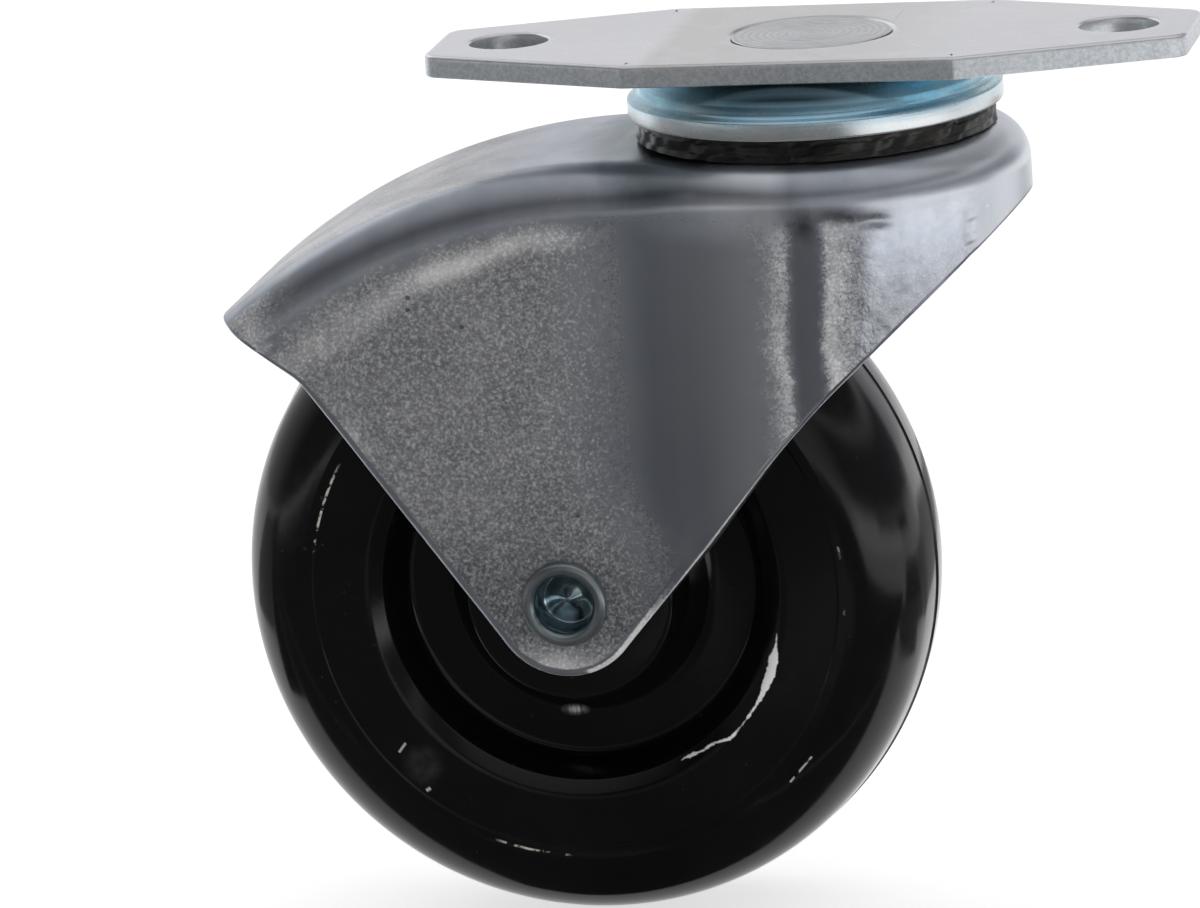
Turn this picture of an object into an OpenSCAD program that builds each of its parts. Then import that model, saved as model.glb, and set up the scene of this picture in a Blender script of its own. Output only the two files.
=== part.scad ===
// Swivel castor with a two-hole top plate, a drawn hooded fork and an
// 80 mm moulded wheel.
// Frame: Z up, X forward. The origin is on the swivel axis, on the top face
// of the plate; the wheel trails towards -X and turns about a Y axis.

/* [Wheel] */
// Diameter over the tread
wheel_d = 80; // [76:0.5:84]
// Width across the flat side rings
wheel_w = 26; // [24:0.5:28]
// Outer radius of the flat side ring, where the tread's rounding starts
ring_r = 31.3; // [30:0.1:33]
// Radius of the rim of the side recess
recess_r = 22.7; // [21:0.1:24]
// Depth of the side recess below the ring
recess_depth = 5.6; // [4:0.1:6.5]
// Length of the hub between the fork legs
hub_l = 31.4; // [30.5:0.1:31.8]
// Radius of the hub boss at its foot
hub_r = 12.8; // [11.5:0.1:14]

/* [Offsets] */
// Distance from the swivel axis back to the wheel axle
trail = 29; // [27:0.5:31]
// Height of the plate's top face above the wheel axle
axle_drop = 61.5; // [60:0.5:64]

/* [Top plate] */
// Length of the plate
plate_l = 87; // [84:0.5:92]
// Width of the plate at its middle
plate_w = 34.5; // [32:0.5:38]
// Thickness of the plate
plate_t = 2.5; // [2.5:0.1:3]
// Length of the straight middle sides
plate_flat = 37.5; // [34:0.5:42]
// Width of the plate's ends
plate_end = 15; // [12:0.5:18]
// Spacing of the two fixing holes
hole_span = 70; // [66:0.5:72]
// Diameter of the fixing holes
hole_d = 9; // [8:0.1:9.5]

/* [Fork] */
// Sheet thickness
sheet = 2; // [1.6:0.1:2.2]
// Width over the outer faces of the legs
fork_w = 36.4; // [36:0.1:38]
// Outer radius of the round skirt about the swivel axis
skirt_r = 24; // [23.5:0.1:25]
// Radius of the crown's upper edge
crown_round = 4.5; // [3.5:0.1:5.5]
// Radius of the hood's shoulders
shoulder_r = 5.5; // [4:0.1:6.5]
// Radius of the hood's back in side view
hood_r = 70; // [68:0.5:76]
// Rounding of the leg ends about the axle
leg_r = 8.6; // [8:0.1:10]

/* [Swivel bearing] */
// Diameter of the upper balls
ball_d = 6.35; // [5.5:0.01:6.35]
// Number of upper balls
ball_n = 13; // [8:1:13]
// Diameter of the lower balls
lower_ball_d = 5; // [4.5:0.01:5]
// Number of lower balls
lower_ball_n = 15; // [8:1:15]
// Radius over the rim of the upper cup
cup_rim_r = 21.3; // [21:0.1:21.8]

/* [Axle] */
// Diameter of the axle rivet
axle_d = 8; // [7:0.1:8]
// Outside diameter of the steel tube that the wheel turns on
bush_d = 12; // [11:0.1:13]

/* [Hidden] */
$fn = 96;
e = 0.01;

wheel_r = wheel_d / 2;
ax = -trail;
az = -axle_drop;
leg_y = fork_w / 2;
leg_in = leg_y - sheet;

// Swivel bearing levels, from the plate down
race_t = 1.5;
gap = 0.3;
ball_r = ball_d / 2;
ball_pitch = 15.6;
cup_ceiling = -plate_t - race_t;
crown_top = -10.9;
ball_z = (cup_ceiling + crown_top) / 2;
cup_r = 5.37;
cup_z = cup_ceiling + race_t - cup_r;
crown_in = crown_top - sheet;
low_r = lower_ball_d / 2;
low_pitch = 13;
low_z = crown_in - gap - low_r;
low_floor = low_z - low_r - gap;
low_under = low_floor - race_t;
cup_bottom = -8.2;

// Kingpin
pin_r = 6.5;
neck_r = 5.8;
pin_head_r = 9.4;
pin_foot_r = 9;
pin_foot_t = 2.5;

// Hood: centre of its back's arc, where the arc meets the flat crown
hood_x = ax + 7;
hood_top = crown_top - 0.5;
hood_z = hood_top - hood_r;

// Fork outline in side view, from the axle: tail tip, knee under the tail,
// knee under the skirt, front lip
tail_tip = [-38.4, 33.3];
tail_knee = [-29.2, 26.5];
skirt_knee = [29.3, 21.6];
front_lip = [54, 43.4];

function ang(p) = atan2(p[1], p[0]);
// Tangent point on the leg-end circle from an outside point; s picks the side
function tangent(p, r, s) = let (a = ang(p) + s * acos(r / norm(p))) [r * cos(a), r * sin(a)];
// A point on the line a-b, k times its length past b
function past(a, b, k) = b + k * (b - a);
// Points along an arc
function arc(c, r, a0, a1, n) = [for (i = [0:n]) let (a = a0 + (a1 - a0) * i / n) c + r * [cos(a), sin(a)]];
// Corner points p with each corner rounded by radius r
function unit(v) = v / norm(v);
function round_corner(a, b, c, r, n) =
    let (u = unit(a - b), w = unit(c - b), h = acos(u * w) / 2,
         m = b + unit(u + w) * r / sin(h),
         s0 = b + u * r / tan(h), s1 = b + w * r / tan(h),
         a0 = ang(s0 - m), d0 = ang(s1 - m) - a0,
         d = d0 > 180 ? d0 - 360 : d0 < -180 ? d0 + 360 : d0)
    arc(m, r, a0, a0 + d, n);
function rounded(p, r, n) = [for (i = [0:len(p) - 1])
    each round_corner(p[(i + len(p) - 1) % len(p)], p[i], p[(i + 1) % len(p)], r, n)];

// Turns a profile drawn as [radius, along] into a body about the wheel axle
module about_axle() { translate([ax, 0, az]) rotate([-90, 0, 0]) rotate_extrude($fn = 180) children(); }
// Pushes a side-view outline (X, Z from the axle) out to both sides
module side_view(w) { translate([ax, 0, az]) rotate([90, 0, 0]) linear_extrude(w, center = true) children(); }
// The upper right quarter of a rounded edge: a block w by h with one round corner
module rounded_block(w, h, r) {
    square([w, h - r]);
    square([w - r, h]);
    translate([w - r, h - r]) circle(r);
}

// ---- Top plate -------------------------------------------------------------
module plate_outline() {
    l = plate_l / 2; b = plate_w / 2; f = plate_flat / 2; k = plate_end / 2;
    polygon(rounded([[-l, -k], [-f, -b], [f, -b], [l, -k], [l, k], [f, b], [-f, b], [-l, k]], 2.5, 4));
}
module top_plate() {
    color([0.78, 0.80, 0.81]) difference() {
        translate([0, 0, -plate_t]) linear_extrude(plate_t) plate_outline();
        for (s = [-1, 1]) translate([s * hole_span / 2, 0, -plate_t - 1]) cylinder(d = hole_d, h = plate_t + 2);
        translate([0, 0, -plate_t - 1]) cylinder(r = neck_r + 0.05, h = plate_t + 2);
        // countersink that the kingpin's end is spun into
        translate([0, 0, -1.6]) cylinder(r1 = neck_r + 0.05, r2 = pin_head_r + 0.05, h = 1.6);
        translate([0, 0, -e]) cylinder(r = pin_head_r + 0.05, h = 1);
    }
}

// ---- Kingpin ---------------------------------------------------------------
module kingpin() {
    color([0.72, 0.74, 0.76]) rotate_extrude() polygon([
        [0, low_under - pin_foot_t], [pin_foot_r - 1, low_under - pin_foot_t],
        [pin_foot_r, low_under - pin_foot_t + 1], [pin_foot_r, low_under],
        [pin_r, low_under], [pin_r, cup_ceiling], [neck_r, cup_ceiling],
        [neck_r, -1.58], [pin_head_r - 0.33, -0.12], [pin_head_r - 0.48, -0.03], [0, -0.03]]);
}

// ---- Upper bearing cup, fixed under the plate -------------------------------
module upper_cup() {
    ro = cup_r;
    ri = cup_r - race_t;
    c = [ball_pitch, cup_z];
    color([0.55, 0.66, 0.72]) rotate_extrude($fn = 144) polygon(concat(
        [[neck_r + 0.05, cup_ceiling], [neck_r + 0.05, -plate_t]],
        arc(c, ro, 90, 32, 10),
        arc([cup_rim_r - 0.35, cup_bottom + 2.15], 0.35, 70, 0, 3),
        arc([cup_rim_r - 0.3, cup_bottom + 0.3], 0.3, 0, -90, 3),
        [[ball_pitch + ri + 0.15, cup_bottom]],
        arc(c, ri, 0, 90, 12)));
}

// ---- Balls -----------------------------------------------------------------
module ball_ring(n, d, pitch, z) {
    for (i = [0:n - 1]) rotate([0, 0, i * 360 / n]) translate([pitch, 0, z]) sphere(d = d, $fn = 48);
}
module upper_balls() { color([0.62, 0.62, 0.63]) ball_ring(ball_n, ball_d, ball_pitch, ball_z); }
module lower_balls() { color([0.62, 0.62, 0.63]) ball_ring(lower_ball_n, lower_ball_d, low_pitch, low_z); }

// ---- Lower bearing cup, carried on the kingpin's foot -----------------------
module lower_cup() {
    ri = low_r + gap;
    c = [low_pitch, low_z];
    color([0.66, 0.68, 0.70]) rotate_extrude($fn = 144) polygon(concat(
        [[pin_r + 0.05, low_under]],
        arc(c, ri + race_t, -90, 0, 12),
        [[low_pitch + ri + race_t, low_z + 0.6], [low_pitch + ri, low_z + 0.6]],
        arc(c, ri, 0, -90, 12),
        [[pin_r + 0.05, low_floor]]));
}

// ---- Fork: one drawn sheet, crown, hood and two legs ------------------------
// The fork's full form, shrunk by k on every face
module fork_form(k) {
    w = leg_y - k;
    s = shoulder_r - k;
    top = hood_top - k;
    crown = crown_top - k;
    // hood's back, a turned form about a cross axis
    intersection() {
        translate([hood_x, 0, hood_z]) rotate([-90, 0, 0]) rotate_extrude($fn = 240) {
            translate([0, -w]) square([hood_r - k - s, 2 * w]);
            translate([0, s - w]) square([hood_r - k, 2 * (w - s)]);
            for (m = [-1, 1]) translate([hood_r - k - s, m * (w - s)]) circle(s);
        }
        translate([-150, -50, -150]) cube([150 + hood_x, 100, 200]);
    }
    // straight top between the hood's back and the swivel axis
    translate([hood_x, 0, 0]) rotate([90, 0, 90]) linear_extrude(-hood_x) {
        translate([-w, -120]) square([2 * w, 120 + top - s]);
        translate([-w + s, -120]) square([2 * (w - s), 120 + top]);
        for (m = [-1, 1]) translate([m * (w - s), top - s]) circle(s);
    }
    // round crown and skirt
    translate([0, 0, crown - 60]) rotate_extrude($fn = 180) intersection() {
        rounded_block(skirt_r - k, 60, crown_round - k);
        square([100, 100]);
    }
}
module fork_outline() {
    // the straight edges run a hair inside the leg end's circle
    t0 = tangent(tail_knee, leg_r - 0.04, 1);
    t1 = tangent(skirt_knee, leg_r - 0.04, -1);
    polygon([past(tail_knee, tail_tip, 1), tail_knee, t0, [0, 0], t1, skirt_knee,
             past(skirt_knee, front_lip, 0.3), [70, 80], [-70, 80]]);
    circle(leg_r);
}
module fork() {
    color([0.60, 0.62, 0.65]) difference() {
        intersection() {
            difference() { fork_form(0); fork_form(sheet); }
            side_view(fork_w + 40) fork_outline();
        }
        translate([ax, 0, az]) rotate([90, 0, 0]) cylinder(d = axle_d + 0.1, h = fork_w + 10, center = true);
        translate([0, 0, crown_top - 10]) cylinder(r = pin_r + 1.7, h = 20);
    }
}

// ---- Axle: a part-hollow rivet, its open end rolled over the near leg --------
module axle_rivet() {
    r = axle_d / 2;
    color([0.62, 0.72, 0.74]) about_axle() polygon([
        [0, -leg_y + 3.4 + 1.5], [2.7, -leg_y + 3.4], [2.8, -leg_y + 1.6], [3.3, -leg_y - 0.3], [3.6, -leg_y - 0.85],
        [4.1, -leg_y - 1.05], [4.5, -leg_y - 0.85], [4.75, -leg_y - 0.35], [4.75, -leg_y], [r, -leg_y],
        [r, leg_y], [6.5, leg_y], [6.5, leg_y + 1], [5.6, leg_y + 2], [4.2, leg_y + 2.4], [0, leg_y + 2.5]]);
}
module axle_tube() {
    color([0.70, 0.71, 0.72]) translate([ax, 0, az]) rotate([90, 0, 0]) difference() {
        cylinder(d = bush_d, h = 2 * leg_in, center = true);
        cylinder(d = axle_d + 0.1, h = 2 * leg_in + 2, center = true);
    }
}

// ---- Wheel: one moulding -----------------------------------------------------
module wheel_half() {
    y = wheel_w / 2;
    // tread: one arc across the width, from the crown to the side ring
    c = (wheel_r * wheel_r - ring_r * ring_r - y * y) / (2 * (wheel_r - ring_r));
    fl = y - recess_depth;
    bore = bush_d / 2 + 0.06;
    difference() {
        union() {
            intersection() {
                translate([c, 0]) circle(wheel_r - c, $fn = 180);
                translate([recess_r, -e]) square([30, y + e]);
            }
            translate([bore, -e]) square([recess_r + 1 - bore, y + e]);
        }
        // side recess with sloped wall
        polygon([[0, fl], [recess_r - 2.4, fl], [recess_r - 0.3, y - 0.4], [recess_r + 0.3, y + e], [recess_r + 0.3, y + 5], [0, y + 5]]);
    }
    // hub boss
    difference() {
        polygon([[bore, 0], [hub_r + 2.4, 0], [hub_r + 2.4, fl], [hub_r, fl + 2.4], [hub_r - 1, hub_l / 2 - 0.8],
                 [hub_r - 1.8, hub_l / 2], [bore, hub_l / 2]]);
        translate([hub_r + 2.4, fl + 2.4]) circle(2.4);
    }
}
module wheel() {
    color([0.05, 0.05, 0.055]) about_axle() for (m = [0, 1]) mirror([0, m]) wheel_half();
}

top_plate();
kingpin();
upper_cup();
upper_balls();
fork();
lower_balls();
lower_cup();
axle_rivet();
axle_tube();
wheel();
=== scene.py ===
import math

import bmesh
import bpy
import numpy as np
from mathutils import Matrix, Vector, noise


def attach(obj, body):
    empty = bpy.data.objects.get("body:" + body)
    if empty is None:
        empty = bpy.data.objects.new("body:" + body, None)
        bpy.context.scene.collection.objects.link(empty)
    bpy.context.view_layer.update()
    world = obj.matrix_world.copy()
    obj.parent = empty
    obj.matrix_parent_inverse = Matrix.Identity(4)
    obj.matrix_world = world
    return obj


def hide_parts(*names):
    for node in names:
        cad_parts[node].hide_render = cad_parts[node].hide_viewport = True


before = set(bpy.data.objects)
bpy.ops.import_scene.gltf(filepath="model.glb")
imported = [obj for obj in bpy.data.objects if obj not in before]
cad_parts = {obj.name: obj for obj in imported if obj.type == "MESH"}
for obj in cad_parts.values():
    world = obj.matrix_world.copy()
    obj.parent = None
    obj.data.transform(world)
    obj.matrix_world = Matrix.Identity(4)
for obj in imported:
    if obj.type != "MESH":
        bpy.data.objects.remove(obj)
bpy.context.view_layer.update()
rng = np.random.default_rng(7)
MM = 0.001

# ---------------------------------------------------------------- dimensions, mm
AX, AZ = -29.0, -61.5            # wheel axle
LEG_Y, SHEET = 18.2, 2.0
SKIRT_R, CROWN_R, SHOULDER_R = 24.0, 4.5, 5.5
CROWN_TOP, HOOD_TOP = -10.9, -11.4
HOOD_X, HOOD_R = -22.0, 70.0
HOOD_Z = HOOD_TOP - HOOD_R
LEG_R = 8.6
TAIL_TIP, TAIL_KNEE = np.array([-38.4, 33.3]), np.array([-29.2, 26.5])
SKIRT_KNEE, FRONT_LIP = np.array([29.3, 21.6]), np.array([54.0, 43.4])
PIN_HOLE_R = 8.2


# ---------------------------------------------------------------- small helpers
def smooth(t):
    t = np.clip(t, 0.0, 1.0)
    return t * t * (3 - 2 * t)


def fillet_path(pts, radii, step=0.25, least=5):
    """A polyline whose corners are rounded by the given radii, as an array of points."""
    out = []
    n = len(pts)
    for i in range(n):
        p = np.array(pts[i], float)
        r = radii[i]
        if i in (0, n - 1) or r <= 0:
            out.append(p)
            continue
        a, c = np.array(pts[i - 1], float), np.array(pts[i + 1], float)
        u, w = (a - p) / np.linalg.norm(a - p), (c - p) / np.linalg.norm(c - p)
        h = math.acos(max(-1, min(1, float(u @ w)))) / 2
        if abs(h - math.pi / 2) < 1e-4:
            out.append(p)
            continue
        d = r / math.tan(h)
        m = p + (u + w) / np.linalg.norm(u + w) * r / math.sin(h)
        s0, s1 = p + u * d, p + w * d
        a0 = math.atan2(*(s0 - m)[::-1])
        a1 = math.atan2(*(s1 - m)[::-1])
        da = (a1 - a0 + math.pi) % (2 * math.pi) - math.pi
        k = max(least, int(abs(da) * r / step))
        out += [m + r * np.array([math.cos(a0 + da * j / k), math.sin(a0 + da * j / k)]) for j in range(k + 1)]
    return np.array(out)


def densify(path, step):
    out = [path[0]]
    for a, b in zip(path[:-1], path[1:]):
        k = max(1, int(np.linalg.norm(b - a) / step))
        out += [a + (b - a) * j / k for j in range(1, k + 1)]
    return np.array(out)


def new_object(name, verts, faces, material, sharp=None):
    me = bpy.data.meshes.new(name)
    me.from_pydata([tuple(float(c) * MM for c in v) for v in verts], [], [tuple(int(i) for i in f) for f in faces])
    me.validate()
    me.update()
    ob = bpy.data.objects.new(name, me)
    bpy.context.scene.collection.objects.link(ob)
    bm = bmesh.new()
    bm.from_mesh(me)
    bmesh.ops.remove_doubles(bm, verts=bm.verts, dist=1e-6)
    bmesh.ops.recalc_face_normals(bm, faces=bm.faces)
    for f in bm.faces:
        f.smooth = True
    if sharp:
        for e in bm.edges:
            if len(e.link_faces) == 2 and e.calc_face_angle(0) > math.radians(sharp):
                e.smooth = False
    bm.to_mesh(me)
    bm.free()
    me.materials.append(material)
    return ob


def lathe(name, profile, material, axis="Z", centre=(0, 0, 0), n=160, wobble=None, closed=False, sharp=None):
    """Turns a profile of (radius, along) points about an axis through centre. wobble(angle, i) adds (dr, da)."""
    verts, faces = [], []
    m = len(profile)
    for j in range(n):
        a = 2 * math.pi * j / n
        for i, (r, h) in enumerate(profile):
            if wobble is not None and r > 1e-6:
                dr, dh = wobble(a, i)
                r, h = r + dr, h + dh
            x, y = r * math.cos(a), r * math.sin(a)
            p = (x, y, h) if axis == "Z" else (x, h, y)
            verts.append((p[0] + centre[0], p[1] + centre[1], p[2] + centre[2]))
    last = m if closed else m - 1
    for j in range(n):
        k = (j + 1) % n
        for i in range(last):
            q = (i + 1) % m
            f = (j * m + i, k * m + i, k * m + q, j * m + q)
            faces.append(f)
    return new_object(name, verts, faces, material, sharp)


# ---------------------------------------------------------------- materials
class Mat:
    """A small builder for node materials."""

    def __init__(self, name):
        self.m = bpy.data.materials.new(name)
        self.m.use_nodes = True
        self.t = self.m.node_tree
        self.b = self.t.nodes["Principled BSDF"]
        self.co = self.t.nodes.new("ShaderNodeTexCoord").outputs["Object"]

    def set(self, **kw):
        for k, v in kw.items():
            self.b.inputs[k.replace("_", " ")].default_value = v
        return self

    def link(self, a, b):
        self.t.links.new(a, b)

    def node(self, kind, **kw):
        n = self.t.nodes.new(kind)
        for k, v in kw.items():
            setattr(n, k, v)
        return n

    def mapped(self, scale=(1, 1, 1), rot=(0, 0, 0), src=None):
        n = self.node("ShaderNodeMapping")
        n.inputs["Scale"].default_value = scale
        n.inputs["Rotation"].default_value = rot
        self.link(src or self.co, n.inputs["Vector"])
        return n.outputs["Vector"]

    def noise(self, scale, detail=3.0, rough=0.55, src=None, distort=0.0):
        n = self.node("ShaderNodeTexNoise")
        n.inputs["Scale"].default_value = scale
        n.inputs["Detail"].default_value = detail
        n.inputs["Roughness"].default_value = rough
        n.inputs["Distortion"].default_value = distort
        self.link(src or self.co, n.inputs["Vector"])
        return n.outputs["Fac"]

    def voronoi(self, scale, feature="F1", src=None, rand=1.0):
        n = self.node("ShaderNodeTexVoronoi", feature=feature)
        n.inputs["Scale"].default_value = scale
        n.inputs["Randomness"].default_value = rand
        self.link(src or self.co, n.inputs["Vector"])
        return n

    def ramp(self, fac, stops, interp="LINEAR"):
        n = self.node("ShaderNodeValToRGB")
        n.color_ramp.interpolation = interp
        e = n.color_ramp.elements
        while len(e) < len(stops):
            e.new(0.5)
        for el, (p, c) in zip(e, stops):
            el.position = p
            el.color = (c, c, c, 1) if isinstance(c, (int, float)) else (*c, 1)
        self.link(fac, n.inputs["Fac"])
        return n.outputs["Color"]

    def math(self, op, a, b=None, c=None, clamp=False):
        n = self.node("ShaderNodeMath", operation=op, use_clamp=clamp)
        for i, v in enumerate((a, b, c)):
            if v is None:
                continue
            if isinstance(v, (int, float)):
                n.inputs[i].default_value = v
            else:
                self.link(v, n.inputs[i])
        return n.outputs[0]

    def mix(self, fac, a, b, blend="MIX"):
        n = self.node("ShaderNodeMix", data_type="RGBA", blend_type=blend)
        for sock, v in ((n.inputs["Factor"], fac), (n.inputs[6], a), (n.inputs[7], b)):
            if isinstance(v, (int, float)):
                sock.default_value = v if sock.type == "VALUE" else (v, v, v, 1)
            elif isinstance(v, tuple):
                sock.default_value = (*v, 1)
            else:
                self.link(v, sock)
        return n.outputs[2]

    def attr(self, name):
        n = self.node("ShaderNodeAttribute", attribute_name=name)
        return n.outputs["Fac"]

    def bump(self, height, strength, dist, normal=None):
        n = self.node("ShaderNodeBump")
        n.inputs["Strength"].default_value = strength
        n.inputs["Distance"].default_value = dist
        self.link(height, n.inputs["Height"])
        if normal is not None:
            self.link(normal, n.inputs["Normal"])
        return n.outputs["Normal"]

    def out(self, **kw):
        for k, v in kw.items():
            self.link(v, self.b.inputs[k.replace("_", " ")])
        return self.m


def scratches(m, cell, rot, width=0.035, long=0.03, seed=(0.0, 0.0, 0.0)):
    """Sparse straight hairlines: cells stretched along one direction."""
    n = m.node("ShaderNodeMapping")
    n.inputs["Location"].default_value = seed
    n.inputs["Rotation"].default_value = rot
    n.inputs["Scale"].default_value = (cell, cell * long, cell)
    m.link(m.co, n.inputs["Vector"])
    v = m.voronoi(1.0, src=n.outputs["Vector"])
    return m.math("LESS_THAN", v.outputs["Distance"], width)


def zinc_fork():
    m = Mat("fork_zinc_drawn").set(Metallic=0.86)
    zone, band, peel = m.attr("grain"), m.attr("band"), m.attr("peel")
    fine = m.noise(3000, detail=2.0, rough=0.6)
    mid = m.noise(1100, detail=3.0, rough=0.6)
    pos = m.node("ShaderNodeSeparateXYZ")
    m.link(m.co, pos.inputs[0])
    # ragged limits between the satin and the smooth drawn areas
    tear = m.math("MULTIPLY_ADD", fine, 0.65, m.math("MULTIPLY_ADD", mid, 0.35, -0.5))
    open_ = m.math("MULTIPLY", m.math("MULTIPLY", zone, m.math("SUBTRACT", 1.0, zone)), 9.0)
    grain = m.math("MULTIPLY_ADD", tear, open_, zone, clamp=True)
    # the hood, the crown and the front lip are duller than the skirt
    dull_h = m.math("MULTIPLY_ADD", pos.outputs["X"], -125.0, -2.0, clamp=True)
    crown_dull_and_sheen = m.math("MULTIPLY_ADD", pos.outputs["Z"], 250.0, 5.0, clamp=True)
    front_dull_and_sheen = m.math("MULTIPLY_ADD", pos.outputs["X"], 250.0, -4.5, clamp=True)
    dulled = m.math("MAXIMUM", dull_h, m.math("MAXIMUM", crown_dull_and_sheen, front_dull_and_sheen))
    coarse = m.noise(420, detail=2.0)
    broad = m.noise(42, detail=4.0, rough=0.55)
    streak = m.noise(1.0, detail=3.0, src=m.mapped(scale=(260, 260, 14)))
    speck = m.ramp(m.math("MULTIPLY_ADD", fine, 0.78, m.math("MULTIPLY", mid, 0.22)), [(0.37, 0.0), (0.52, 0.32), (0.69, 1.0)])
    satin = m.mix(speck, (0.135, 0.14, 0.153), (0.66, 0.67, 0.68))
    # near-white satin: the painted highlight that the band attribute lays on the sheet
    painted_highlight_tone = m.mix(m.ramp(speck, [(0.10, 0.0), (0.70, 1.0)]), (0.86, 0.855, 0.84), (1.0, 0.99, 0.97))
    drawn = m.mix(m.ramp(m.math("MULTIPLY_ADD", streak, 0.5, m.math("MULTIPLY", broad, 0.5)), [(0.35, 0.0), (0.65, 1.0)]),
                  (0.40, 0.43, 0.485), (0.53, 0.56, 0.605))
    # a lighter strip before the draw lines, and a painted highlight that lightens the front lip and the front of the
    # crown
    strip = m.ramp(m.math("MULTIPLY_ADD", pos.outputs["X"], 25.0, 0.5), [(0.20, 0.0), (0.37, 1.0), (0.46, 1.0), (0.52, 0.0)])
    drawn = m.mix(m.math("MULTIPLY", strip, 0.8), drawn, (0.84, 0.87, 0.92))
    drawn = m.mix(m.math("MULTIPLY", m.math("MAXIMUM", front_dull_and_sheen, m.math("MULTIPLY", crown_dull_and_sheen, m.math("MULTIPLY_ADD", pos.outputs["X"], 90.0, -0.6, clamp=True))), 0.60), drawn, (0.78, 0.81, 0.84))
    patch = m.ramp(m.noise(150, detail=3.0), [(0.36, 0.55), (0.6, 1.0)])
    col = m.mix(grain, drawn, m.mix(m.math("MULTIPLY", band, patch), satin, painted_highlight_tone))
    # mottled dull spots where the sheet is pebbly
    dull = m.math("MULTIPLY", peel, m.ramp(m.noise(330, detail=3.0, rough=0.6), [(0.50, 0.0), (0.64, 0.55)]))
    col = m.mix(dull, col, (0.20, 0.21, 0.225))
    # dark pits on the flats, hairline scratches
    pits = m.voronoi(260)
    pit = m.math("MULTIPLY", m.math("LESS_THAN", m.math("ADD", pits.outputs["Distance"], m.math("MULTIPLY", mid, 0.12)), 0.14),
                 m.ramp(m.noise(60, detail=1.0), [(0.55, 0.0), (0.60, 1.0)]))
    col = m.mix(m.math("MULTIPLY", m.math("MULTIPLY", pit, grain), 0.75), col, (0.06, 0.06, 0.06))
    line = m.math("MAXIMUM", scratches(m, 240, (0.0, 0.7, 0.0)), scratches(m, 300, (0.0, 2.2, 0.0), seed=(0.3, 0.1, 0.7)))
    col = m.mix(m.math("MULTIPLY", line, 0.45), col, (0.85, 0.84, 0.80))
    # painted reflection of the teal cup and the plate's dark underside, smeared on the crown beside the cup
    flat_ = m.node("ShaderNodeCombineXYZ")
    m.link(pos.outputs["X"], flat_.inputs[0])
    m.link(pos.outputs["Y"], flat_.inputs[1])
    far = m.node("ShaderNodeVectorMath", operation="LENGTH")
    m.link(flat_.outputs[0], far.inputs[0])
    film_and_painted_reflection = m.ramp(m.math("MULTIPLY_ADD", m.noise(210, detail=4.0, rough=0.6), 0.006, far.outputs["Value"]), [(0.0262, 1.0), (0.0305, 0.0)])
    film_and_painted_reflection = m.math("MULTIPLY", film_and_painted_reflection, m.math("MULTIPLY_ADD", pos.outputs["Z"], 300.0, 5.4, clamp=True))
    film_and_painted_reflection = m.math("MULTIPLY", film_and_painted_reflection, m.math("MULTIPLY_ADD", pos.outputs["X"], -120.0, -1.0, clamp=True))
    col = m.mix(m.math("MULTIPLY", film_and_painted_reflection, 0.88), col, (0.12, 0.17, 0.18))
    # painted shade at the top of the draw lines, under the crown's round
    painted_shade = None
    for cx, cz, wx, wz, most in ((2.3, -17.3, 1.7, 2.0, 0.8), (6.8, -16.5, 4.6, 1.0, 0.7)):
        here = m.node("ShaderNodeVectorMath", operation="MULTIPLY_ADD")
        m.link(m.co, here.inputs[0])
        here.inputs[1].default_value = (1000.0 / wx, 0.0, 1000.0 / wz)
        here.inputs[2].default_value = (-cx / wx, 0.0, -cz / wz)
        off = m.node("ShaderNodeVectorMath", operation="LENGTH")
        m.link(here.outputs[0], off.inputs[0])
        one = m.ramp(m.math("MULTIPLY_ADD", mid, 0.35, m.math("MULTIPLY", off.outputs["Value"], 0.5)), [(0.25, most), (0.80, 0.0)])
        painted_shade = one if painted_shade is None else m.math("MAXIMUM", painted_shade, one)
    col = m.mix(painted_shade, col, (0.09, 0.095, 0.10))
    rough = m.math("MULTIPLY_ADD", grain, 0.20, m.math("MULTIPLY_ADD", mid, 0.06, m.math("MULTIPLY_ADD", dulled, 0.13, 0.14)))
    metal = m.math("MULTIPLY_ADD", m.math("MULTIPLY", grain, band), -0.48, m.math("MULTIPLY_ADD", grain, -0.15, 0.93))
    h = m.math("MULTIPLY", m.math("MULTIPLY_ADD", fine, 0.6, m.math("MULTIPLY", mid, 0.7)), m.math("MULTIPLY_ADD", zone, 0.95, 0.05))
    n1 = m.bump(h, 0.6, 0.00007)
    n2 = m.bump(m.math("MULTIPLY", m.math("MULTIPLY_ADD", mid, 0.5, coarse), peel), 0.5, 0.00016, n1)
    n3 = m.bump(broad, 0.10, 0.0005, n2)
    return m.out(Base_Color=col, Roughness=rough, Metallic=metal, Normal=n3)


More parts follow.
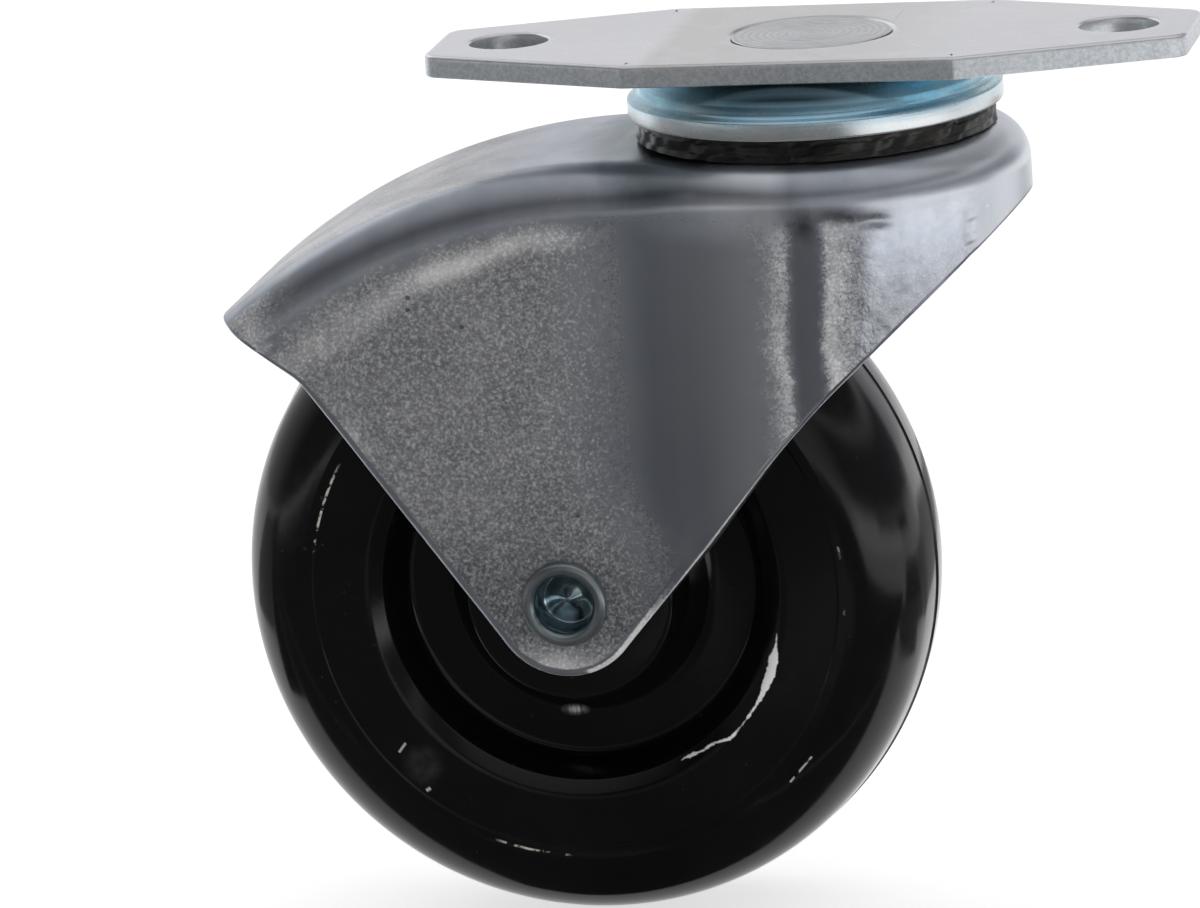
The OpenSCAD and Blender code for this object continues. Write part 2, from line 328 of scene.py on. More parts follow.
def zinc_plate():
    m = Mat("plate_zinc").set(Metallic=0.9)
    edge = m.attr("edge")
    fine = m.noise(2300, detail=2.0, rough=0.6)
    mid = m.noise(330, detail=4.0, rough=0.6)
    broad = m.noise(38, detail=4.0)
    roll = m.noise(1.0, detail=2.0, src=m.mapped(scale=(25, 1400, 300)))
    top = m.mix(m.ramp(m.math("MULTIPLY_ADD", roll, 0.35, m.math("MULTIPLY", mid, 0.65)), [(0.35, 0.0), (0.68, 1.0)]),
                (0.82, 0.825, 0.82), (0.92, 0.925, 0.93))
    top = m.mix(m.math("MULTIPLY", m.ramp(broad, [(0.4, 0.0), (0.7, 1.0)]), 0.30), top, (0.75, 0.755, 0.75))
    # a darker, faintly yellow zone across the middle
    pos = m.node("ShaderNodeSeparateXYZ")
    m.link(m.co, pos.inputs[0])
    across = m.ramp(m.math("MULTIPLY_ADD", mid, 0.02, m.math("MULTIPLY_ADD", pos.outputs["X"], 12.0, 0.5)), [(0.300, 0.0), (0.325, 1.0), (0.58, 0.9), (0.72, 0.0)])
    top = m.mix(m.math("MULTIPLY", across, 0.75), top, (0.68, 0.675, 0.645))
    cut = m.mix(m.ramp(fine, [(0.38, 0.0), (0.62, 1.0)]), (0.58, 0.615, 0.635), (0.74, 0.77, 0.795))
    col = m.mix(edge, top, cut)
    line = m.math("MAXIMUM", scratches(m, 260, (0.0, 0.0, 0.5)), scratches(m, 300, (0.0, 0.0, 2.2), seed=(0.4, 0.2, 0.0)))
    col = m.mix(m.math("MULTIPLY", line, 0.3), col, (0.40, 0.40, 0.40))
    rough = m.math("MULTIPLY_ADD", edge, 0.12, m.math("MULTIPLY_ADD", mid, 0.14, 0.22))
    h = m.math("MULTIPLY", fine, m.math("MULTIPLY_ADD", edge, 0.8, 0.12))
    return m.out(Base_Color=col, Roughness=rough, Normal=m.bump(mid, 0.06, 0.0002, m.bump(h, 0.35, 0.00006)))


def blue_zinc():
    m = Mat("cup_blue_zinc").set(Metallic=0.88)
    pos = m.node("ShaderNodeSeparateXYZ")
    m.link(m.co, pos.inputs[0])
    low = m.math("MULTIPLY_ADD", pos.outputs["Z"], -520.0, -2.75, clamp=True)   # 0 near the top, 1 down at the rim
    broad = m.noise(60, detail=3.0, distort=0.6)
    hue = m.mix(m.ramp(broad, [(0.35, 0.0), (0.62, 1.0)]), (0.25, 0.58, 0.78), (0.54, 0.78, 0.86))
    col = m.mix(low, hue, (0.70, 0.73, 0.73))
    col = m.mix(m.math("MULTIPLY", m.ramp(m.noise(170, detail=3.0), [(0.5, 0.0), (0.7, 1.0)]), 0.25), col, (0.34, 0.46, 0.50))
    # painted shade under the plate's edge: the top of the dome turns near black in front and behind
    side = m.math("MULTIPLY_ADD", m.math("ABSOLUTE", pos.outputs["Y"]), 140.0, -1.68, clamp=True)
    high = m.math("MULTIPLY_ADD", pos.outputs["Z"], 800.0, 4.15, clamp=True)
    col = m.mix(m.math("MULTIPLY", m.math("MULTIPLY", side, high), 0.96), col, (0.006, 0.012, 0.017))
    rough = m.math("MULTIPLY_ADD", m.noise(260, detail=3.0), 0.14, 0.20)
    streak = m.noise(1.0, detail=2.0, src=m.mapped(scale=(120, 120, 2200)))
    return m.out(Base_Color=col, Roughness=rough, Normal=m.bump(streak, 0.12, 0.0001))


def zinc_turned(name, a, b, centre, axis="Z", ring=5200.0, rough0=0.22, lip=None):
    """Bright plated steel with rings about its axis."""
    m = Mat(name).set(Metallic=1.0)
    sub = m.node("ShaderNodeVectorMath", operation="SUBTRACT")
    m.link(m.co, sub.inputs[0])
    sub.inputs[1].default_value = centre
    sx = m.node("ShaderNodeSeparateXYZ")
    m.link(sub.outputs[0], sx.inputs[0])
    u, v = (sx.outputs["X"], sx.outputs["Y"]) if axis == "Z" else (sx.outputs["X"], sx.outputs["Z"])
    r = m.math("SQRT", m.math("ADD", m.math("MULTIPLY", u, u), m.math("MULTIPLY", v, v)))
    wav = m.math("SINE", m.math("MULTIPLY_ADD", r, ring, m.math("MULTIPLY", m.noise(400, detail=2.0), 3.0)))
    mid = m.noise(500, detail=4.0, rough=0.6)
    col = m.mix(m.ramp(m.math("MULTIPLY_ADD", wav, 0.10, mid), [(0.3, 0.0), (0.75, 1.0)]), a, b)
    rough = m.math("MULTIPLY_ADD", mid, 0.16, rough0)
    if lip:
        # duller and greyer beyond this radius
        worn = m.math("MULTIPLY_ADD", r, 2500.0, -2.5 * lip, clamp=True)
        col = m.mix(m.math("MULTIPLY", worn, 0.7), col, (0.36, 0.375, 0.375))
        rough = m.math("MULTIPLY_ADD", worn, 0.22, rough)
    return m.out(Base_Color=col, Roughness=rough, Normal=m.bump(wav, 0.22, 0.00003, m.bump(mid, 0.1, 0.00005)))


def steel_plain(name, dark, light, rough0=0.28):
    m = Mat(name).set(Metallic=1.0)
    mid = m.noise(420, detail=4.0, rough=0.6)
    broad = m.noise(70, detail=3.0)
    col = m.mix(m.ramp(m.math("MULTIPLY_ADD", mid, 0.6, m.math("MULTIPLY", broad, 0.4)), [(0.35, 0.0), (0.65, 1.0)]), dark, light)
    return m.out(Base_Color=col, Roughness=m.math("MULTIPLY_ADD", mid, 0.18, rough0), Normal=m.bump(mid, 0.15, 0.00005))


def greasy(name, a, b, rough0):
    m = Mat(name).set(Metallic=0.0)
    n = m.noise(1.0, detail=4.0, rough=0.6, src=m.mapped(scale=(260, 260, 900)))
    col = m.mix(m.ramp(n, [(0.48, 0.0), (0.74, 1.0)]), a, b)
    return m.out(Base_Color=col, Roughness=m.math("MULTIPLY_ADD", n, 0.25, rough0), Normal=m.bump(n, 0.5, 0.00025))


def black_moulding():
    m = Mat("black_moulded_plastic")
    m.set(Metallic=0.0, Specular_IOR_Level=0.4, IOR=1.49)
    broad = m.noise(70, detail=4.0)
    mid = m.noise(600, detail=3.0)
    fine = m.noise(1900, detail=2.0, rough=0.6)
    # position about the axle: radius, and side-face distance from the middle
    sub = m.node("ShaderNodeVectorMath", operation="SUBTRACT")
    m.link(m.co, sub.inputs[0])
    sub.inputs[1].default_value = (AX * MM, 0, AZ * MM)
    sx = m.node("ShaderNodeSeparateXYZ")
    m.link(sub.outputs[0], sx.inputs[0])
    x, z = sx.outputs["X"], sx.outputs["Z"]
    rad = m.math("SQRT", m.math("ADD", m.math("MULTIPLY", x, x), m.math("MULTIPLY", z, z)))

    def ring(r0, w):
        d = m.math("ABSOLUTE", m.math("SUBTRACT", rad, r0 * MM))
        return m.math("SUBTRACT", 1.0, m.math("DIVIDE", d, w * MM), clamp=True)

    def spot(ang, r0, w):
        """A soft round patch on the side face at an angle and radius."""
        px, pz = r0 * MM * math.cos(math.radians(ang)), r0 * MM * math.sin(math.radians(ang))
        dx, dz = m.math("SUBTRACT", x, px), m.math("SUBTRACT", z, pz)
        d = m.math("SQRT", m.math("ADD", m.math("MULTIPLY", dx, dx), m.math("MULTIPLY", dz, dz)))
        return m.math("SUBTRACT", 1.0, m.math("DIVIDE", d, w * MM), clamp=True)

    dust = m.voronoi(420)
    speck = m.math("MULTIPLY", m.math("LESS_THAN", dust.outputs["Distance"], 0.09), m.ramp(m.noise(60, detail=2.0), [(0.56, 0.0), (0.66, 1.0)]))
    film_and_painted_reflection = m.ramp(m.noise(120, detail=5.0, rough=0.7), [(0.50, 0.0), (0.75, 1.0)])
    col = m.mix(m.ramp(broad, [(0.3, 0.0), (0.7, 1.0)]), (0.0024, 0.0024, 0.0026), (0.0040, 0.0040, 0.0044))
    col = m.mix(m.math("MULTIPLY", speck, 0.05), col, (0.30, 0.28, 0.24))
    line = m.math("MAXIMUM", scratches(m, 260, (0.0, 0.6, 0.0), 0.03), scratches(m, 330, (0.0, 2.3, 0.0), 0.03, seed=(0.2, 0.6, 0.1)))
    col = m.mix(m.math("MULTIPLY", line, 0.05), col, (0.4, 0.4, 0.4))
    # painted highlights with chalky scuffs: broken light hairlines on the ring's edge and a light crescent on the
    # recess's rim
    deg = m.math("MULTIPLY", m.math("ARCTAN2", z, x), 180.0 / math.pi)

    def arc(a0, a1, soft):
        d = m.math("ABSOLUTE", m.math("SUBTRACT", deg, (a0 + a1) / 2))
        return m.math("SUBTRACT", 1.0, m.math("DIVIDE", m.math("SUBTRACT", d, (a1 - a0) / 2 - soft), soft), clamp=True)

    chip = m.ramp(m.math("MULTIPLY_ADD", fine, 0.45, m.math("MULTIPLY", m.noise(420, detail=2.0), 0.55)), [(0.44, 0.0), (0.52, 1.0)])
    arcs = m.math("MAXIMUM", m.math("MAXIMUM", arc(149, 171, 4), arc(-111, -94, 3)), m.math("MULTIPLY", m.math("MAXIMUM", arc(6, 11, 2), arc(-8, -4, 1.5)), 0.4))
    # the light line, painted glint and wear, runs a little inside the edge on the trailing side
    slip = m.math("MULTIPLY", m.math("GREATER_THAN", deg, 100.0), 0.75 * MM)
    line_r = m.math("ABSOLUTE", m.math("SUBTRACT", m.math("ADD", rad, slip), 31.2 * MM))
    thin = m.math("SUBTRACT", 1.0, m.math("DIVIDE", line_r, 0.22 * MM), clamp=True)
    wear_and_glint = m.math("MULTIPLY", m.math("MULTIPLY", m.ramp(thin, [(0.25, 0.0), (0.6, 1.0)]), chip), arcs)
    along = m.math("DIVIDE", m.math("ADD", deg, 62.0), 50.0, clamp=True)
    mid_r = m.math("MULTIPLY_ADD", m.ramp(along, [(0.04, 0.25), (0.14, 0.34), (0.24, 0.40), (0.32, 0.60), (0.60, 0.60), (0.80, 0.54), (1.0, 0.42)]), 4.0 * MM, 22.0 * MM)
    wide = m.math("MULTIPLY", m.ramp(along, [(0.0, 0.0), (0.06, 0.28), (0.15, 0.16), (0.30, 0.22), (0.45, 0.13), (0.58, 0.20), (0.72, 0.62), (0.84, 0.66), (0.90, 0.20), (0.97, 0.08), (1.0, 0.0)]), MM)
    off = m.math("ABSOLUTE", m.math("SUBTRACT", rad, mid_r))
    ragged = m.math("MULTIPLY", m.math("SUBTRACT", m.math("MULTIPLY_ADD", fine, 0.5, m.math("MULTIPLY", mid, 0.5)), 0.5), 0.9 * MM)
    dirt_and_highlight = m.math("DIVIDE", m.math("ADD", m.math("SUBTRACT", wide, off), ragged), 0.14 * MM, clamp=True)
    dirt_and_highlight = m.math("MULTIPLY", dirt_and_highlight, m.math("MULTIPLY", m.math("GREATER_THAN", wide, 0.00005), m.math("LESS_THAN", sx.outputs["Y"], 0.0)))

    def stroke(ang, r0, turn, long, wide_):
        """A short straight mark on the side face, used for scratches and for a painted highlight streak."""
        px, pz = r0 * MM * math.cos(math.radians(ang)), r0 * MM * math.sin(math.radians(ang))
        c, s = math.cos(math.radians(turn)), math.sin(math.radians(turn))
        dx, dz = m.math("SUBTRACT", x, px), m.math("SUBTRACT", z, pz)
        u = m.math("ABSOLUTE", m.math("MULTIPLY_ADD", dx, c, m.math("MULTIPLY", dz, s)))
        v = m.math("ABSOLUTE", m.math("MULTIPLY_ADD", dz, c, m.math("MULTIPLY", dx, -s)))
        return m.math("MULTIPLY", m.math("LESS_THAN", u, long / 2 * MM), m.math("SUBTRACT", 1.3, m.math("DIVIDE", v, wide_ * MM), clamp=True))

    near = m.math("LESS_THAN", sx.outputs["Y"], 0.0)
    # the short nicks are scratches; the long one on the ring's edge at -40.5 degrees is a painted highlight streak
    nicks_and_glints = m.math("MAXIMUM", stroke(-139.6, 28.0, 52, 1.4, 0.16), m.math("MAXIMUM", m.math("MULTIPLY", stroke(-40.5, 32.8, 48, 4.0, 0.13), m.ramp(mid, [(0.42, 0.0), (0.52, 1.0)])), stroke(-128.8, 29.7, 30, 0.6, 0.22)))
    # a painted glint under the hub: a soft patch, wider than tall, with upright streaks
    glint_streaks = m.noise(1.0, detail=2.0, src=m.mapped(scale=(2600, 0, 250)))
    px, pz = 15.4 * MM * math.cos(math.radians(-97.0)), 15.4 * MM * math.sin(math.radians(-97.0))
    du, dv = m.math("DIVIDE", m.math("SUBTRACT", x, px), 1.9 * MM), m.math("DIVIDE", m.math("SUBTRACT", z, pz), 0.85 * MM)
    patch = m.math("SUBTRACT", 1.0, m.math("SQRT", m.math("ADD", m.math("MULTIPLY", du, du), m.math("MULTIPLY", dv, dv))), clamp=True)
    glint = m.math("MULTIPLY", m.ramp(patch, [(0.0, 0.0), (0.35, 0.16), (0.8, 0.9)]), m.ramp(glint_streaks, [(0.36, 0.2), (0.60, 1.0)]))
    nicks_and_glints = m.math("MULTIPLY", m.math("MAXIMUM", nicks_and_glints, glint), near)
    mark = m.ramp(spot(-133, 27.8, 3.0), [(0.0, 0.0), (0.6, 1.0)])
    col = m.mix(m.math("MULTIPLY", wear_and_glint, 0.8), col, (0.70, 0.66, 0.57))
    col = m.mix(m.math("MULTIPLY", dirt_and_highlight, 0.95), col, (0.92, 0.90, 0.87))
    col = m.mix(m.math("MULTIPLY", nicks_and_glints, 0.5), col, (0.85, 0.84, 0.80))
    col = m.mix(m.math("MULTIPLY", m.math("MULTIPLY", mark, m.ramp(mid, [(0.4, 0.2), (0.65, 1.0)])), 0.06), col, (0.30, 0.29, 0.26))
    rough = m.math("MULTIPLY_ADD", film_and_painted_reflection, 0.12, m.math("MULTIPLY_ADD", mid, 0.06, 0.10))
    rough = m.math("MAXIMUM", rough, m.math("MULTIPLY", m.math("MAXIMUM", m.math("MAXIMUM", wear_and_glint, dirt_and_highlight), m.math("MAXIMUM", mark, nicks_and_glints)), 0.6))
    h = m.math("MULTIPLY_ADD", m.math("MULTIPLY", mark, fine), 1.0, m.math("MULTIPLY", mid, 0.12))
    return m.out(Base_Color=col, Roughness=rough, Normal=m.bump(broad, 0.05, 0.0006, m.bump(h, 0.25, 0.00008)))


MAT_FORK = zinc_fork()
MAT_PLATE = zinc_plate()
MAT_CUP = blue_zinc()
MAT_PIN = zinc_turned("pin_zinc_spun", (0.52, 0.54, 0.54), (0.76, 0.78, 0.77), (0, 0, 0), "Z", 7600.0, 0.24)
MAT_RIVET = zinc_turned("rivet_zinc", (0.22, 0.30, 0.33), (0.46, 0.55, 0.58), (AX * MM, 0, AZ * MM), "Y", 4200.0, 0.05, lip=3.3)
MAT_RACE = steel_plain("race_zinc", (0.30, 0.31, 0.33), (0.50, 0.51, 0.53))
MAT_TUBE = steel_plain("tube_steel", (0.25, 0.255, 0.26), (0.42, 0.425, 0.43))
MAT_BALL = steel_plain("ball_steel_greased", (0.05, 0.045, 0.04), (0.22, 0.21, 0.20), 0.12)
MAT_GREASE = greasy("bearing_grease", (0.003, 0.0027, 0.0022), (0.028, 0.022, 0.012), 0.20)
MAT_WHEEL = black_moulding()


# ---------------------------------------------------------------- fork: one drawn sheet
def tangent(p, r, s):
    a = math.atan2(p[1], p[0]) + s * math.acos(r / np.linalg.norm(p))
    return np.array([r * math.cos(a), r * math.sin(a)])


T0, T1 = tangent(TAIL_KNEE, LEG_R, 1), tangent(SKIRT_KNEE, LEG_R, -1)


def cut_z(x):
    """Height of the skirt's cut edge at row X, ahead of the axle."""
    u = x - AX
    if u < T1[0]:
        return AZ - math.sqrt(max(LEG_R ** 2 - u * u, 0))
    for a, b in ((T1, SKIRT_KNEE), (SKIRT_KNEE, FRONT_LIP)):
        if u <= b[0] or b is FRONT_LIP:
            # a soft bend at the skirt's knee
            z = a[1] + (b[1] - a[1]) * (u - a[0]) / (b[0] - a[0])
            d = abs(u - SKIRT_KNEE[0])
            return AZ + z - (0.5 * max(0.0, 1 - d / 5.0) ** 2)


def fork_mesh():
    nf, ns, nw = 22, 20, 64            # across the flat top, round the shoulder, down the wall
    n1, n2 = 86, 134                   # stations along the hood, and round the skirt to the front
    cols = []                          # each station: the points from the middle out and down to the cut
    # --- hood: long lines on the top and shoulder that end on the tail's cut
    d = TAIL_TIP - TAIL_KNEE
    base = np.array([AX, AZ]) + TAIL_KNEE
    lines = []
    for j in range(nf + ns + 1):
        if j <= nf:
            y, r = -(LEG_Y - SHOULDER_R) * j / nf, HOOD_R
        else:
            th = math.pi / 2 * (j - nf) / ns
            y, r = -(LEG_Y - SHOULDER_R) - SHOULDER_R * math.sin(th), HOOD_R - SHOULDER_R + SHOULDER_R * math.cos(th)
        # the sheet's end bows out a little between the shoulders
        bow = 0.35 * (1 - (y / (LEG_Y - 2)) ** 2) if abs(y) < LEG_Y - 2 else 0.0
        o = base + d / np.linalg.norm(d) * 0 - np.array([HOOD_X, HOOD_Z])
        dd = d / np.linalg.norm(d)
        bq, cq = float(o @ dd), float(o @ o - r * r)
        t = -bq + math.sqrt(bq * bq - cq)
        p = o + dd * t
        b0 = math.atan2(p[1], p[0]) + bow / HOOD_R
        lines.append((y, r, b0))
    edge_s = []
    hood = []
    for i in range(n1 + 1):
        f = i / n1
        col = []
        for (y, r, b0) in lines:
            b = b0 + (math.pi / 2 - b0) * f
            col.append((HOOD_X + r * math.cos(b), y, HOOD_Z + r * math.sin(b)))
        hood.append(col)
    # the cut edge below the hood, from the tail's shoulder to the leg's front
    s0 = np.array([hood[0][-1][0], hood[0][-1][2]])
    knee = np.array([AX, AZ]) + TAIL_KNEE
    t0 = np.array([AX, AZ]) + T0
    a0, a1 = math.atan2(T0[1], T0[0]), math.atan2(T1[1], T1[0])
    if a0 > 0:
        a0 -= 2 * math.pi
    end_x = HOOD_X
    leg = [np.array([AX, AZ]) + LEG_R * np.array([math.cos(a), math.sin(a)]) for a in np.linspace(a0, a1, 60)]
    leg = [p for p in leg if p[0] < end_x - 1e-6] + [np.array([end_x, cut_z(end_x)])]
    head = fillet_path([s0, knee, t0], [0, 6.0, 0], 0.3)
    path = densify(np.vstack([head, np.array(leg[1:])]), 0.3)
    ln = np.concatenate([[0], np.cumsum(np.linalg.norm(np.diff(path, axis=0), axis=1))])
    for i in range(n1 + 1):
        f = i / n1
        u = ln[-1] * (0.25 * f + 0.75 * smooth(f) * 0.35 + 0.75 * 0.65 * f)
        e = np.array([np.interp(u, ln, path[:, 0]), np.interp(u, ln, path[:, 1])])
        s = np.array([hood[i][-1][0], hood[i][-1][2]])
        wall = [s + (e - s) * (k / nw) for k in range(1, nw + 1)]
        cols.append(hood[i] + [(p[0], -LEG_Y, p[1]) for p in wall])
    # --- skirt: concave blend from the leg's plane, then the round skirt to the front
    rf = ((HOOD_X ** 2) / (SKIRT_R - LEG_Y) - (SKIRT_R + LEG_Y)) / 2
    c = np.array([HOOD_X, -(LEG_Y + rf)])
    touch = c / np.linalg.norm(c) * SKIRT_R
    a_end = math.atan2(*(touch - c)[::-1])
    lf = rf * (math.pi / 2 - a_end)
    phi0 = math.atan2(touch[1], touch[0])
    if phi0 > 0:
        phi0 -= 2 * math.pi
    lc = SKIRT_R * abs(phi0)
    for i in range(1, n2 + 1):
        f = i / n2
        s = (lf + lc) * f
        if s <= lf:
            a = math.pi / 2 - s / rf
            p = c + rf * np.array([math.cos(a), math.sin(a)])
            nin = np.array([math.cos(a), math.sin(a)])
        else:
            ph = phi0 + (s - lf) / SKIRT_R
            p = SKIRT_R * np.array([math.cos(ph), math.sin(ph)])
            nin = -p / SKIRT_R
        w = smooth(s / (lf + 8))
        sh = SHOULDER_R + (CROWN_R - SHOULDER_R) * w
        top = HOOD_TOP + (CROWN_TOP - HOOD_TOP) * w
        q = p + nin * sh
        # inner end of the line: along the spine, then round the kingpin's hole
        run = (abs(HOOD_X) - PIN_HOLE_R) + math.pi * PIN_HOLE_R
        g = run * f
        if g < abs(HOOD_X) - PIN_HOLE_R:
            ci = np.array([HOOD_X + g, 0.0])
        else:
            ga = math.pi + (g - abs(HOOD_X) + PIN_HOLE_R) / PIN_HOLE_R
            ci = PIN_HOLE_R * np.array([math.cos(ga), math.sin(ga)])
        zi = HOOD_TOP + (CROWN_TOP - HOOD_TOP) * smooth((24 - np.linalg.norm(ci)) / 8) if i < n2 else CROWN_TOP
        col = []
        for j in range(nf + 1):
            t = j / nf
            xy = ci + (q - ci) * t
            col.append((xy[0], xy[1], zi + (top - zi) * smooth(t)))
        for j in range(1, ns + 1):
            th = math.pi / 2 * j / ns
            xy = q - nin * sh * math.sin(th)
            col.append((xy[0], xy[1], top - sh + sh * math.cos(th)))
        zc = cut_z(p[0])
        for k in range(1, nw + 1):
            col.append((p[0], p[1], top - sh + (zc - top + sh) * k / nw))
        cols.append(col)
    P = np.array(cols)                                   # stations x points x 3
    ni, nj = P.shape[:2]
    # whole sheet as one strip of stations: -Y side forward, then the +Y side back
    right = P[::-1].copy()
    right[:, :, 1] *= -1
    A = np.concatenate([P, right[1:]])                   # the two front stations are the same
    # outward normals from the grid
    du = np.gradient(A, axis=0)
    dv = np.gradient(A, axis=1)
    N = np.cross(du, dv)
    ln_ = np.linalg.norm(N, axis=2, keepdims=True)
    N = np.where(ln_ > 1e-9, N / np.maximum(ln_, 1e-9), 0)
    # degenerate corner of the tail: take the leg's own normal
    flat = np.abs(np.abs(A[:, :, 1]) - LEG_Y) < 1e-6
    N[flat] = np.stack([np.zeros(flat.sum()), -np.sign(A[flat][:, 1]), np.zeros(flat.sum())], axis=1) * -1
    sgn = np.sign(A[ni // 2, nj - 5] @ (N[ni // 2, nj - 5] * np.array([1, 1, 0])))
    if (A[ni // 3, 2] * 0 + N[ni // 3, 2])[2] < 0:
        N[~flat] *= -1
    N[flat] *= -1
    # make every normal point out of the form
    mid = np.array([AX * 0.5, 0, -45.0])
    out = np.sum((A - mid) * N, axis=2) < 0
    N[out] *= -1
    # shallow draw ripples, a crease and dents in the pressed sheet, all of them inwards
    for i in range(ni):
        for k in range(nj):
            h = dent(A[i, k])
            if h:
                A[i, k] = A[i, k] - N[i, k] * h
    return A, N, P.shape[0]


def bell(t):
    return math.exp(-t * t)


def rough_at(x, y, z, f):
    return noise.noise(Vector((x * f + 3.7, y * f - 1.3, z * f + 0.4)))


def dent(p):
    """How far the sheet lies inside its ideal form, mm; the same on both sides."""
    x, y, z = float(p[0]), abs(float(p[1])), float(p[2])
    h = 0.0
    if x > -13 and z < -12.5:
        ph = math.degrees(math.atan2(x, y))
        fade = float(smooth((-15.0 - z) / 4.0))
        wand = 1.5 * rough_at(0, 0, z, 0.16)
        # two vertical draw ripples beside the blend
        h += fade * (0.14 * bell((ph - 1.5 - wand) / 3.2) + 0.04 * bell((ph - 16.5 - wand) / 4.0))
        # short crease under the crown's round
        if y > 5:
            run = float(smooth((x - 3.0) / 2.5)) * float(1 - smooth((x - 9.5) / 3.5))
            mid = -17.25 - 0.07 * (x - 8) + 0.35 * rough_at(x, 0, 0, 0.45)
            h += (0.17 + 0.06 * rough_at(x, 5, 0, 0.7)) * run * bell((z - mid) / 0.70)
        # scuffed border towards the front
        rag = rough_at(0, 0, z, 0.55) + 0.5 * rough_at(0, 2, z, 1.3)
        h += 0.10 * fade * max(0.0, 0.55 + rag) * bell((ph - 53.0 - 3.0 * rag) / 2.2)
        # pebbly drawn surface on the right
        peel = float(smooth((ph - 18) / 8)) * float(1 - smooth((ph - 52) / 4)) * float(smooth((-17.0 - z) / 8))
        h += 0.035 * peel * max(0.0, 0.8 + rough_at(x, y, z, 0.42) + 0.8 * rough_at(x, y, z, 0.95))
        # the wall leans in a little towards the cut
        h += 0.20 * float(smooth((-19.0 - z) / 14.0)) * float(smooth((ph - 14) / 10)) * float(1 - smooth((ph - 50) / 8))
    elif x < -25:
        # wavy sheet near the tail, and along the leg's trailing edge
        h += 0.16 * bell(math.hypot((x + 60.5) / 2.6, (z + 36.5) / 2.0)) + 0.12 * bell(math.hypot((x + 64.0) / 2.2, (z + 31.8) / 1.8))
        if y > 17:
            u = -(x - AX) * 0.74 - (z - AZ) * 0.67            # distance out towards the trailing cut
            h += 0.10 * max(0.0, 0.5 + rough_at(x, 0, z, 0.16)) * float(smooth((-z - 24) / 8)) * float(smooth((u - 1.0) / 5))
    return h


